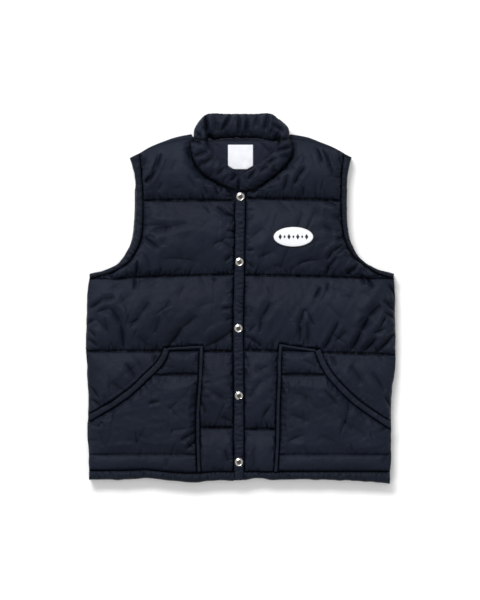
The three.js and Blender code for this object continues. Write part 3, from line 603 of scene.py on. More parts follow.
def front_plan(side):
    """The plan points of a front's upper cloth, in rows from the hem to the shoulder, and its seam rows."""
    inward = inward_from(side)
    columns = FRONT_COLUMNS
    outer_line = side_line(side)
    middle_line = PLACKET - [inward * (PLACKET_WIDTH / 2 + GAP), 0]
    armhole = offset(spline(ARMHOLE_SEAM[side]), -inward * GAP)
    rows = []
    seam_rows = [0]
    for low, high in (("hem", "lower"), ("lower", "waist"), ("waist", "underarm")):
        count = FRONT_ROWS[low]
        outer = stretch(outer_line, SEAM_Y[low], min(SEAM_Y[high], UNDERARM_CORNER_Y), count)
        inner = stretch(middle_line, SEAM_Y[low], SEAM_Y[high], count)
        rows += list(zip(outer, inner))[1 if rows else 0:]
        seam_rows.append(len(rows) - 1)
    outer = stretch(armhole, armhole[0][1], SEAM_Y["chest"], FRONT_ROWS["underarm"])
    inner = stretch(middle_line, SEAM_Y["underarm"], SEAM_Y["chest"], FRONT_ROWS["underarm"])
    rows += list(zip(outer, inner))[1:]
    seam_rows.append(len(rows) - 1)
    outer = stretch(armhole, SEAM_Y["chest"], armhole[-1][1], FRONT_ROWS["chest"])
    start = [np.interp(SEAM_Y["chest"], middle_line[:, 1], middle_line[:, 0]), SEAM_Y["chest"]]
    inner = resample(spline([start] + NECK_SEAM[side]), FRONT_ROWS["chest"])
    yoke_from = len(rows) - 1
    rows += list(zip(outer, inner))[1:]
    across = np.linspace(0, 1, columns)[:, None]
    grid = np.array([a + (b - a) * across for a, b in rows])
    shoulder = resample(spline(SHOULDER_SEAM[side]), columns)
    bow = shoulder[:, 1] - (grid[-1, 0, 1] + (grid[-1, -1, 1] - grid[-1, 0, 1]) * across[:, 0])
    for k in range(yoke_from, len(rows)):
        grid[k, :, 1] += bow * ((k - yoke_from) / (len(rows) - 1 - yoke_from)) ** 2
    at_placket, at_side = (np.interp(np.arange(len(rows)), seam_rows + [len(rows) - 1], shifts)
                           for shifts in zip(*SEAM_SHIFT[side]))
    grid[..., 1] += at_side[:, None] + (at_placket - at_side)[:, None] * across[:, 0]
    to_hem = np.clip(1 - np.arange(len(rows)) / 12, 0, 1)
    grid[..., 1] += to_hem[:, None] * hem_wave(grid[..., 0])
    return grid, seam_rows


def front_height(side, plan, seam_rows):
    """How high the upper cloth of a front stands over its underside, and how far it is from the pocket."""
    flat = plan.reshape(-1, 2)
    crowned = np.zeros(plan.shape[:2])
    for low, high in zip(seam_rows, seam_rows[1:] + [len(plan) - 1]):
        share = np.linspace(0, 1, high - low + 1) ** 0.68
        crowned[low:high + 1] = (1 - np.abs(2 * share - 1) ** 2.2)[:, None]
    crowned = crowned.ravel()
    rise = np.ones(len(flat))
    edges = (
        (plan[: seam_rows[3] + 1, 0], SIDE_REACH),
        (plan[seam_rows[3]:, 0], SEAM_REACH),
        (plan[seam_rows[4]:, -1], NECK_REACH),
        (plan[: seam_rows[4] + 1, -1], SEAM_REACH),
        (plan[-1], 12),
    )
    for line, reach in edges:
        rise = rise * round_rise(distance_to(flat, line), reach)
    outline = pocket_outline(side, 0)
    off_pocket = np.where(inside(flat, outline), 0, distance_to(flat, np.vstack([outline, outline[:1]])))
    rise = rise * round_rise(off_pocket, POCKET_REACH)
    return EDGE + rise * (SEAM - EDGE + LOFT * crowned), off_pocket


CREASE_DEPTH = 2.0
GROOVE = 3.2  # how far the stitches pull a quilting seam in

# The larger creases: where each starts and ends, its half width and its depth
CREASES = {
    "right": [
        (-152, 276, -162, 246, 4, 3.6), (-162, 246, -178, 219, 4, 4), (-173, 234, -182, 220, 4, 4),
        (-158, 276, -168, 242, 5, 1.6), (-178, 280, -189, 250, 8, 1.8), (-151, 221, -158, 205, 6, 2),
        (-101, 234, -85, 207, 8, 1.8), (-36, 215, -37, 200, 3, 3), (-47, 211, -43, 196, 4, 2.2),
        (-70, 213, -62, 196, 6, 2), (-124, 265, -132, 242, 9, 1.2), (-187, 138, -139, 138, 8, 2.2),
        (-174, 127, -132, 134, 8, 3.4), (-139, 134, -101, 142, 7, 2.2), (-176, 121, -162, 113, 4, 2),
        (-187, 118, -158, 94, 5, 4.4), (-45, 175, -28, 159, 5, 3.4), (-30, 161, -12, 155, 4, 3.4),
        (-26, 129, -11, 127, 4, 2.4), (-53, 100, -37, 110, 8, 2.4), (-37, 109, -14, 94, 8, 3),
        (-30, 69, -14, 83, 5, 3), (-183, 83, -174, 54, 9, 2.4), (-155, 75, -78, 69, 12, 2.4),
        (-198, 71, -200, 42, 3.5, 4.6), (-203, 40, -203, 17, 3, 3.6), (-241, 2, -266, -4, 6, 2.6),
        (-264, -2, -289, -20, 5, 3.8), (-274, -27, -247, -21, 7, 2.6), (-247, -21, -229, -52, 9, 4.4),
        (-229, -50, -224, -94, 7, 4.4), (-277, -40, -254, -65, 10, 2.6), (-289, -61, -276, -77, 4, 3),
        (-291, -79, -274, -92, 5, 3.2), (-293, -50, -279, -40, 4, 2.6), (-176, -8, -191, -31, 7, 2.6),
        (-191, -29, -212, -58, 8, 2.8), (-84, -33, -112, -58, 9, 3.4), (-112, -56, -139, -94, 8, 4.6),
        (-12, -60, -66, -94, 10, 4.4), (-155, -38, -166, -69, 8, 2.6), (-36, -21, -12, -19, 4, 3),
        (-28, -42, -12, -38, 5, 2.6), (-135, -4, -143, -17, 6, 1.8), (-47, 33, -53, 40, 3, 2.2),
        (-197, -73, -174, -96, 8, 2), (-220, -125, -199, -156, 7, 3.6), (-247, -161, -222, -180, 10, 3),
        (-287, -169, -270, -194, 4, 3), (-285, -194, -266, -209, 5, 3.2),
        (-164, -111, -155, -127, 6, 2), (-70, -163, -59, -161, 4, 2), (-55, -179, -28, -196, 7, 2.6),
        (-76, -200, -66, -223, 4, 2.6), (-37, -227, -14, -240, 9, 3.2), (-30, -290, -24, -315, 6, 2.6),
    ],
    "left": [
        (147, 286, 156, 259, 4, 3.6), (158, 284, 172, 252, 4, 3.4), (170, 255, 178, 234, 4, 2.2),
        (122, 250, 110, 232, 5, 3.2), (110, 234, 103, 217, 5, 3.4), (89, 236, 82, 204, 5, 3.2),
        (120, 213, 120, 194, 4, 2.4), (185, 284, 193, 257, 5, 2), (158, 169, 176, 157, 8, 2),
        (174, 159, 193, 148, 6, 2), (162, 186, 187, 177, 5, 2.4), (160, 138, 178, 125, 6, 2.4),
        (183, 111, 201, 119, 4, 4.2), (183, 106, 199, 113, 4, 3), (197, 104, 176, 88, 5, 4.6),
        (176, 90, 164, 71, 5, 4.6), (201, 98, 183, 83, 4, 3.2), (183, 79, 170, 61, 5, 4),
        (170, 63, 162, 42, 4, 3.6), (218, 60, 201, 44, 5, 3.8), (224, 65, 214, 50, 4, 2.8),
        (66, 92, 34, 77, 10, 3), (18, 111, 45, 134, 10, 2), (12, 90, 26, 92, 4, 2.6),
        (14, 69, 26, 56, 6, 2.8), (107, 65, 153, 73, 10, 2.6), (137, 157, 156, 171, 9, 1.8),
        (57, -8, 39, -42, 8, 3.8), (39, -38, 36, -67, 6, 3), (11, -71, 30, -50, 6, 2.6),
        (12, -73, 41, -94, 5, 2.8), (122, -21, 112, -50, 6, 3.4), (112, -46, 114, -86, 5, 3.4),
        (124, -21, 141, -54, 6, 2.8), (128, -46, 130, -90, 12, 3.6), (153, 21, 143, 0, 4, 3.6),
        (168, 29, 166, 13, 4, 2.4), (187, -46, 174, -71, 5, 3.2), (176, -69, 158, -100, 5, 3.8),
        (203, -63, 180, -84, 8, 2.4), (268, -12, 243, -38, 10, 5.4), (245, -38, 231, -63, 8, 6),
        (231, -63, 212, -100, 6, 5), (279, -33, 266, -58, 5, 3.2), (277, -58, 256, -67, 5, 2.8),
        (260, -77, 235, -102, 6, 4.4), (295, -67, 260, -104, 6, 4.8), (274, -4, 295, -27, 5, 3.4),
        (283, 27, 297, 2, 4, 3.2), (276, -27, 297, -42, 4, 3.2), (231, 44, 239, 27, 4, 3.8),
        (241, 40, 254, 19, 4, 4), (14, -196, 41, -157, 8, 2.4), (28, -142, 53, -131, 7, 2),
        (41, -230, 60, -204, 6, 2.4), (210, -129, 233, -165, 8, 3), (252, -142, 276, -180, 8, 3),
        (276, -188, 287, -211, 4, 2.8), (172, -111, 183, -131, 5, 2.4),
    ],
}


def sorted_line(line):
    """The x and y of a line, in rising x."""
    order = np.argsort(line[:, 0])
    return line[order, 0], line[order, 1]


def scattered(x_range, y_range, count, seed):
    """Small creases over a stretch of cloth, most of them steep."""
    own = np.random.default_rng(seed)
    rows = []
    for _ in range(count):
        x, y = own.uniform(*x_range), own.uniform(*y_range)
        turn = own.normal(math.pi / 2, 0.75)
        length = own.uniform(12, 50)
        ends = x + length * math.cos(turn), y + length * math.sin(turn)
        rows.append((x, y, *ends, own.uniform(2.5, 7), own.uniform(0.5, 1.9)))
    return rows


def sharp(rows, share=0.5):
    """Rows for the painted shade in the middle of each crease, narrower than the crease itself."""
    return [(*ends, width * share, min(1, 1.7 * deep / width)) for *ends, width, deep in rows]


def crease(flat, rows):
    """The depth of given creases: each is a narrow trough with a soft ridge on both sides."""
    depth = np.zeros(len(flat))
    for x1, y1, x2, y2, width, deep in rows:
        start, line = np.array([x1, y1], float), np.array([x2 - x1, y2 - y1], float)
        length = np.linalg.norm(line)
        along = np.clip(((flat - start) @ line) / length**2, -0.2, 1.2)
        side = ((flat - start) @ np.array([-line[1], line[0]])) / length
        bend = 0.03 * length * np.sin(along * math.pi)
        beyond = np.maximum(0, np.maximum(-along, along - 1)) * length
        away = np.hypot(side - bend, beyond)
        taper = np.sqrt(np.clip(np.sin(math.pi * np.clip(along, 0, 1)), 0, 1)) * 0.85 + 0.15
        trough = np.exp(-away / (0.75 * width))
        ridge = hat(away - 1.9 * width, width)
        depth += deep * taper * (trough - 0.3 * ridge)
    return depth


def front(side):
    plan, seam_rows = front_plan(side)
    rows, columns = plan.shape[:2]
    flat = plan.reshape(-1, 2)
    height, off_pocket = front_height(side, plan, seam_rows)
    seed = 31 if side == "right" else 57
    loose = np.clip((height - SEAM) / 6, 0, 1)
    height = height + loose * (smooth_noise(flat, 34, seed) + 1.6 * smooth_noise(flat, 75, seed + 1))
    pinned = np.zeros((rows, columns))
    pinned[[0, -1], :] = 1
    pinned[:, [0, -1]] = 1
    pinned[seam_rows, :] = 1
    pinned = np.maximum(pinned.ravel(), off_pocket <= 1.0)
    above = np.full(len(flat), 99.0)
    below = np.full(len(flat), 99.0)
    for row in seam_rows:
        nearest = distance_to(flat, plan[row][::6])
        row_y = np.interp(flat[:, 0], *sorted_line(plan[row]))
        above = np.where(flat[:, 1] >= row_y, np.minimum(above, nearest), above)
        below = np.where(flat[:, 1] < row_y, np.minimum(below, nearest), below)
    beside = np.minimum(distance_to(flat, plan[:, -1]), distance_to(flat, plan[seam_rows[3]:, 0]))
    patchy = 0.75 + 0.4 * smooth_noise(flat, 46, seed + 2)
    grow = 0.05 + 0.85 * np.clip(1 - above / 26, 0, 1) * patchy
    grow += 0.7 * np.clip(1 - np.minimum(beside, off_pocket) / 22, 0, 1) * patchy * np.clip(below / 12, 0, 1)
    points = np.column_stack([flat, FRONT_Z + height])
    faces = upward_faces(side, rows, columns)
    settled = settle(points, faces, pinned, np.clip(grow, 0, 1), growth=0.08, cap=10)
    moved = (settled - points).reshape(rows, columns, 3)
    plump = smoothed_across(moved, 13)
    loose = np.clip(grow * 1.5, 0, 1).reshape(rows, columns, 1)
    grid = finer_grid(points.reshape(rows, columns, 3) + plump + (moved - plump) * loose)
    points = grid.reshape(-1, 3)
    flat = points[:, :2].copy()
    free = np.clip((points[:, 2] - FRONT_Z - EDGE - 0.5) / 3, 0, 1)
    towards = inward_from(side)
    small = np.zeros(len(flat))
    for k, row in enumerate(seam_rows[1:]):
        line = plan[row]
        small += puckers(flat, line, towards, seed * 10 + k, (4, 22), (6, 22), (0.7, 3.2))
        small += puckers(flat, line, -towards, seed * 11 + k, (14, 30), (4, 10), (0.4, 1.2))
    small += puckers(flat, plan[: seam_rows[4] + 1, -1], towards, seed + 5, (5, 28), (6, 20), (0.6, 2.8))
    small += puckers(flat, plan[seam_rows[3]:, 0], -towards, seed + 6, (6, 30), (7, 26), (0.6, 2.4))
    small += puckers(flat, plan[seam_rows[4]:, -1], towards, seed + 7, (6, 28), (8, 24), (0.5, 2.2))
    small += puckers(flat, plan[: seam_rows[3], 0], -towards, seed + 8, (12, 30), (8, 20), (0.4, 1.4))
    outline = pocket_outline(side, 1)
    small += puckers(flat, outline[:-2], 1, seed + 9, (7, 30), (6, 16), (0.5, 2.0))
    far_x = -280 if side == "right" else 280
    random_rows = scattered(sorted((far_x, -towards * 14)), (-330, 280), 110, seed + 10)
    creases = CREASE_DEPTH * crease(flat, CREASES[side]) + crease(flat, random_rows)
    points[:, 2] -= free * (creases + small)
    grooves = np.zeros(grid.shape[:2])
    for row in seam_rows[1:]:
        grooves[2 * row, 2:-2] = 1
        grooves[[2 * row - 1, 2 * row + 1], 2:-2] = 0.6
    uneven = 0.75 + 0.4 * smooth_noise(flat, 14, seed + 11)
    grooves = grooves.ravel() * np.clip(uneven, 0.3, 1.2)
    points[:, 2] = np.maximum(points[:, 2] - GROOVE * grooves, FRONT_Z + 0.8)
    # Painted shade along the edges, in the seams, round the pocket and in the creases and puckers, which darkens
    # the base colour
    edges = np.vstack([plan[seam_rows[3]:, 0], plan[-1], plan[::-1, -1], plan[0, ::-1]])[::3]
    fold_and_painted_shade = 0.6 * hat(distance_to(flat, edges), 1.4) * uneven + grooves
    fold_and_painted_shade += 0.25 * hat(distance_to(flat, pocket_outline(side, 0)[:-2:2]), 1.3) * uneven
    fold_and_painted_shade += np.maximum(crease(flat, sharp(random_rows)), 0)
    fold_and_painted_shade += np.maximum(crease(flat, sharp(CREASES[side])), 0) + np.clip(small, 0, 3) / 3.2
    points, faces = closed_pad(points.reshape(grid.shape), FRONT_Z)
    name = f"{side}_front_quilted"
    piece = make_piece(name, points, faces, SHELL, [f"{side}_front"], fold_and_painted_shade=fold_and_painted_shade)
    return piece, plan, seam_rows


# Strips, and the sections across them, as rows of share across and share of the height
TRIM_HEIGHT = 11
HEM_BAND_HEIGHT = 11.5
PLACKET_HEIGHT = 9.5
ROUND_SECTION = [(0, 0.15), (0.05, 0.55), (0.18, 0.86), (0.5, 1), (0.8, 0.94), (0.95, 0.66), (1, 0.35)]
FLAT_SECTION = [(0, 0.55), (0.04, 0.8), (0.18, 0.96), (0.5, 1), (0.82, 0.96), (0.96, 0.8), (1, 0.55)]


def strip_grid(line_a, line_b, section, base_z, height, seed, wrinkle=1.0, period=8, wavy=0.0, ticks=1.0):
    """A grid between two plan lines, with a section raised across it and wrinkles along it, and painted shade
    along its two edges and in its puckers.
    """
    far = run_length(line_a)
    along = np.column_stack([far, np.zeros(len(far))])
    small, large = smooth_noise(along, period, seed), smooth_noise(along, period * 3, seed + 1)
    outward = line_a - line_b
    outward = outward / np.linalg.norm(outward, axis=1)[:, None]
    line_a = line_a + outward * (wavy * smooth_noise(along, period * 2.5, seed + 2))[:, None]
    section = spline(section, 3)
    grid = []
    for across, rise in section:
        drift = smooth_noise(along + [across * 3, 0], period, seed)
        swell = np.sin(math.pi * min(max(across, 0.0), 1.0)) * wrinkle
        z = base_z + height * rise * (1 + 0.06 * large) + swell * (0.6 * drift + 0.4 * small)
        plan = line_a + (line_b - line_a) * across
        grid.append(np.column_stack([plan, z]))
    grid = np.array(grid).transpose(1, 0, 2)
    flat = grid[..., :2].reshape(-1, 2)
    side = 1 if np.cross(line_b[1] - line_b[0], line_a[0] - line_b[0]) > 0 else -1
    width = np.linalg.norm(line_a[0] - line_b[0])
    reach_b, reach_a = (0.5 * width, 1.1 * width), (0.4 * width, width)
    folds = puckers(flat, line_b, side, seed + 3, (4, 11), reach_b, (0.5 * ticks, 1.5 * ticks))
    folds += puckers(flat, line_a, -side, seed + 4, (6, 16), reach_a, (0.3 * ticks, 1.1 * ticks))
    grid[..., 2] = np.maximum(grid[..., 2] - folds.reshape(grid.shape[:2]), base_z + 0.4)
    # Painted shade at both edges of the strip and in its puckers
    from_edge = np.tile(np.minimum(section[:, 0], 1 - section[:, 0]) * width, len(grid))
    return grid, hat(from_edge, 0.8) * 0.35 + np.clip(folds, 0, 3) / 3.2


def strip(name, lines, section, base_z, height, nodes, seed, material=TRIM, **wrinkles):
    """A padded strip of cloth between two plan lines."""
    grid, fold_and_painted_shade = strip_grid(*lines, section, base_z, height, seed, **wrinkles)
    points, faces = closed_pad(grid, base_z)
    piece = make_piece(name, points, faces, material, nodes, fold_and_painted_shade=fold_and_painted_shade)
    return piece


def armhole_lines(side, step=1.3):
    """The free edge of an armhole and its seam, as two lines with as many points."""
    edge, seam = spline(ARMHOLE_EDGE[side], 24), spline(ARMHOLE_SEAM[side], 24)
    far = run_length(edge)
    want = np.linspace(0, far[-1], int(far[-1] / step))
    return [points_at(line, far, want) for line in (edge, seam)]


def hem_lines(x_from, x_to, step=1.3):
    line = spline(HEM, 12)
    x = np.linspace(x_from, x_to, int(abs(x_to - x_from) / step))
    edge = np.column_stack([x, np.interp(x, line[:, 0], line[:, 1])])
    return edge, np.column_stack([x, SEAM_Y["hem"] - GAP + hem_wave(x)])


def mitred(line, distance):
    """A plan line with corners, moved to the left of its direction."""
    ahead = np.diff(line, axis=0)
    ahead /= np.linalg.norm(ahead, axis=1)[:, None]
    first = np.vstack([ahead[:1], ahead])
    last = np.vstack([ahead, ahead[-1:]])
    direction = first + last
    direction /= np.linalg.norm(direction, axis=1)[:, None]
    miter = np.maximum(0.5, np.sum(direction * first, axis=1))
    return line + np.column_stack([-direction[:, 1], direction[:, 0]]) * (distance / miter)[:, None]


def finer(line, parts):
    """The same line with every step cut into parts."""
    want = np.linspace(0, len(line) - 1, (len(line) - 1) * parts + 1)
    return points_at(line, np.arange(len(line)), want)


# Back
BACK_COLUMNS = 70
BACK_ROWS, BACK_ARMHOLE_ROWS = 90, 60
BACK_NECK_Y = 306


def half_back_plan(side):
    """The plan points of half of the back, from its side or armhole to the middle."""
    inward = inward_from(side)
    outer = list(stretch(side_line(side), SEAM_Y["hem"], UNDERARM_CORNER_Y, BACK_ROWS))
    armhole = offset(spline(ARMHOLE_SEAM[side]), -inward * GAP)
    outer += list(resample(armhole, BACK_ARMHOLE_ROWS))[1:]
    inner_y = np.concatenate([np.linspace(SEAM_Y["hem"], SEAM_Y["underarm"], BACK_ROWS),
                              np.linspace(SEAM_Y["underarm"], BACK_NECK_Y, BACK_ARMHOLE_ROWS)[1:]])
    inner = np.column_stack([np.zeros(len(inner_y)), inner_y])
    across = np.linspace(0, 1, BACK_COLUMNS)[:, None]
    grid = np.array([a + (b - a) * across for a, b in zip(np.array(outer), inner)])
    neck = [(-inward * 90, BACK_NECK_Y + 1), (0, BACK_NECK_Y)]
    top = resample(np.vstack([spline(SHOULDER_FOLD[side]), neck]), BACK_COLUMNS)
    bow = top - grid[-1]
    for k in range(BACK_ROWS, len(grid)):
        grid[k] += bow * ((k - BACK_ROWS) / (len(grid) - BACK_ROWS - 1)) ** 2
    return grid


def closed_pair(top, bottom):
    """Two grids of as many points, joined round their borders."""
    rows, columns = top.shape[:2]
    count = rows * columns
    faces = grid_faces(rows, columns) + [face[::-1] for face in grid_faces(rows, columns, start=count)]
    border = grid_border(rows, columns)
    for a, b in zip(border, border[1:] + border[:1]):
        faces.append([b, a, a + count, b + count])
    points = np.vstack([top.reshape(-1, 3), bottom.reshape(-1, 3)])
    across, up = top[0, 1] - top[0, 0], top[1, 0] - top[0, 0]
    if across[0] * up[1] - across[1] * up[0] < 0:
        faces = [face[::-1] for face in faces]
    return points, faces


def back_panel():
    right, left = half_back_plan("right"), half_back_plan("left")
    plan = np.concatenate([right, left[:, -2::-1]], axis=1)
    flat = plan.reshape(-1, 2)
    left_edge, right_edge = (plan[:BACK_ROWS:4, column] for column in (0, -1))
    sides = np.minimum(distance_to(flat, left_edge), distance_to(flat, right_edge))
    free = np.minimum(sides, distance_to(flat, plan[-1][::3]))
    under = BACK_TOP * 0.7 * (1 - round_rise(free, 16))
    for y in list(SEAM_Y.values())[1:]:
        under += 4.5 * hat(flat[:, 1] - y, 5)
    under += np.abs(smooth_noise(flat, 40, 5)) * 0.8 * np.clip(free / 10, 0, 1)
    top = np.column_stack([flat, np.full(len(flat), BACK_TOP)]).reshape(*plan.shape[:2], 3)
    bottom = np.column_stack([flat, np.minimum(under, BACK_TOP - 2)]).reshape(top.shape)
    points, faces = closed_pair(top, bottom)
    make_piece("back_quilted", points, faces, SHELL, ["back_panel"])


def back_strip(name, lines, node, peek, seed):
    """A strip of the back: rounded at its free edge and flat at its seam."""
    edge, seam = lines
    outward = edge - seam
    outward /= np.linalg.norm(outward, axis=1)[:, None]
    edge = edge + outward * peek[:, None]
    width = np.linalg.norm(edge - seam, axis=1)
    noise = smooth_noise(edge, 12, seed)
    top, bottom = [], []
    for across in np.linspace(0, 1, 10) ** 1.5:
        swell = round_rise(across * width, 6)
        plan = edge + (seam - edge) * across
        half = BACK_TOP / 2
        top.append(np.column_stack([plan, half + (half - 0.3) * swell]))
        bottom.append(np.column_stack([plan, half - (half - 0.2) * swell + 0.3 * np.abs(noise)]))
    points, faces = closed_pair(np.array(top), np.array(bottom))
    make_piece(name, points, faces, TRIM, [node])


# Collar. Each row has the neck seam, the top edge and the padding between them.
COLLAR = [
    (-8, 205, 30, -5, 233, 36, 20), (-24, 211, 31, -15, 244, 39, 24), (-44, 221, 32, -28, 256, 41, 26),
    (-69, 235, 32, -45, 270, 42, 27), (-86, 254, 32, -57, 283, 43, 27), (-95, 277, 32, -65, 297, 44, 27),
    (-96, 295, 30, -66, 312, 42, 27), (-86, 305, 26, -74, 331, 33, 27), (-73, 303, 21, -69, 349, 20, 27),
    (-57, 302, 18, -54, 354, 15, 27), (-29, 306, 17, -28, 353, 15, 28), (0, 307, 17, 0, 353, 15, 28),
    (28, 306, 17, 27, 353, 15, 28), (58, 302, 18, 55, 354, 15, 27), (76, 303, 21, 69, 346, 20, 27),
    (88, 305, 26, 80, 330, 33, 27), (97, 296, 30, 72, 312, 42, 27), (99, 281, 32, 71, 298, 44, 27),
    (92, 263, 32, 66, 282, 43, 27), (75, 243, 32, 51, 268, 42, 27), (49, 223, 32, 32, 255, 41, 26),
    (25, 208, 31, 15, 243, 39, 24), (12, 205, 30, 3, 235, 36, 21), (-2, 205, 30, -1, 232, 36, 20),
]
COLLAR_CREASES = [
    (-68, 352, -64, 318, 4, 5), (-62, 314, -57, 290, 6, 4.5), (-20, 350, -36, 320, 4, 4),
    (-3, 352, -4, 313, 3.5, 4), (12, 352, 12, 313, 4, 3.5), (32, 350, 31, 328, 4, 2.6),
    (53, 353, 47, 322, 4, 5), (-48, 346, -46, 318, 6, 2.4), (74, 314, 72, 292, 6, 4.5),
    (60, 334, 84, 317, 4, 3.4), (68, 280, 96, 288, 4, 3.6), (49, 254, 69, 268, 5, 3.0),
    (37, 240, 53, 252, 5, 2.6), (15, 226, 29, 245, 4, 3.4), (-90, 270, -62, 279, 5, 3.2),
    (-73, 254, -48, 270, 5, 3.0), (-46, 233, -30, 249, 5, 3.0), (-18, 224, -5, 237, 4, 3.6),
    (-94, 300, -74, 294, 4, 3.4), (-86, 318, -72, 306, 4, 3), (90, 306, 78, 300, 4, 3.0),
    (96, 268, 76, 270, 6, 2.4), (-84, 246, -70, 262, 5, 2.4), (70, 236, 62, 254, 4, 2.4),
    (-60, 230, -50, 246, 5, 2.0),
]


def collar():
    rows = spline(COLLAR, 7)
    lying = np.clip((rows[:, 1] - 296) / 6, 0, 1) * np.clip((36 - rows[:, 5]) / 14, 0, 1)
    around = 44
    seam, top, padding = rows[:, :3], rows[:, 3:6], rows[:, 6] / 2
    middle = (seam + top) / 2
    across = top - seam
    half = np.linalg.norm(across, axis=1) / 2
    across = across / (2 * half)[:, None]
    along = np.gradient(middle, axis=0)
    along /= np.linalg.norm(along, axis=1)[:, None]
    outward = np.cross(along, across)
    outward /= np.linalg.norm(outward, axis=1)[:, None]
    place = np.arange(len(rows))
    ends = round_rise(np.minimum(place, len(rows) - 1 - place) + 0.6, 5)
    angle = 2 * math.pi * np.arange(around) / around
    pinch = 0.8 + 0.2 * np.cos(angle)[None, :] + lying[:, None] * 0.16 * (np.cos(angle)[None, :] - 0.3)
    grid = (middle[:, None]
            + across[:, None] * (half * (0.6 + 0.4 * ends))[:, None, None] * np.cos(angle)[None, :, None]
            + outward[:, None] * (padding * 0.86 * ends)[:, None, None] * (pinch * np.sin(angle))[..., None])
    points = grid.reshape(-1, 3)
    points += 0.4 * smooth_noise(points[:, :2] + points[:, 2:] * 0.7, 13, 41)[:, None] * [0, 0, 1]
    sections = len(rows)
    faces = tube_faces(sections, around)
    pinned = np.zeros((sections, around))
    pinned[:, around // 2] = 1
    pinned[[0, -1], :] = 1
    pinned[:, 0] = 0.9
    grow = 0.55 + 0.4 * np.abs(smooth_noise(points[:, :2], 40, 43))
    points = settle(points, faces, pinned.ravel(), np.clip(grow, 0, 1), growth=0.045, cap=4, pressure=2.5)
    grid = halved(points.reshape(sections, around, 3))
    grid = halved(np.concatenate([grid, grid[:, :1]], axis=1).transpose(1, 0, 2)).transpose(1, 0, 2)[:, :-1]
    sections, around = grid.shape[:2]
    points = grid.reshape(-1, 3)
    flat = points[:, :2].copy()
    upper = np.clip((points[:, 2] - np.repeat(halved(middle)[:, 2], around)) / 3, 0, 1)
    small = puckers(flat, seam[:, :2], -1, 45, (7, 40), (8, 22), (0.4, 1.8))
    small += puckers(flat, top[:, :2], 1, 46, (10, 46), (8, 24), (0.4, 1.6))
    points[:, 2] = np.maximum(points[:, 2] - upper * (2.0 * crease(flat, COLLAR_CREASES) + small), 0.2)
    # Painted shade in the creases and puckers, over the inner face of the back, at the back's two corners and
    # along the neck seam, with less of it towards the wearer's left
    painted_hollow_shade = np.clip((323 - flat[:, 1]) / 12, 0, 1) * np.clip((flat[:, 1] - 290) / 8, 0, 1)
    painted_hollow_shade *= np.clip((68 - np.abs(flat[:, 0] - 3)) / 8, 0, 1)
    fold_and_painted_shade = np.maximum(crease(flat, sharp(COLLAR_CREASES, 0.8)), 0) + np.clip(small, 0, 3) / 3.2 + 0.6 * painted_hollow_shade
    for x, y in ((-59, 302), (71, 302)):
        fold_and_painted_shade += 0.9 * np.exp(-(((flat[:, 0] - x) / 6) ** 2 + ((flat[:, 1] - y) / 14) ** 2))
    fold_and_painted_shade += hat(distance_to(flat, seam[:, :2]), 3)
    fold_and_painted_shade *= 1 - 0.35 * np.clip((flat[:, 0] - 20) / 30, 0, 1)
    faces = tube_faces(sections, around)
    piece = make_piece("collar_padded", points, faces, SHELL, ["collar"], fold_and_painted_shade=fold_and_painted_shade)


# Pockets
POCKET_SEAM_Y = {"bottom": -332, "hem_stitch": -300, "yoke": -146}
POCKET_LOFT = 10
POCKET_CREASES = {
    "right": [
        (-176, -202, -155, -198, 4, 2.6), (-114, -273, -87, -257, 5, 3.6),
        (-105, -290, -85, -275, 5, 2.8), (-135, -255, -97, -250, 9, 1.6),
        (-270, -257, -262, -284, 10, 1.8), (-216, -269, -174, -284, 14, 2),
        (-155, -131, -124, -134, 8, 1.4),
    ],
    "left": [(100, -180, 140, -196, 14, 2.0), (90, -276, 120, -262, 8, 2.4), (200, -236, 240, -268, 14, 2.2),
             (150, -262, 190, -282, 12, 1.8), (160, -176, 186, -206, 7, 2.4), (120, -118, 150, -134, 6, 1.8),
             (96, -222, 130, -238, 8, 2.2)],
}


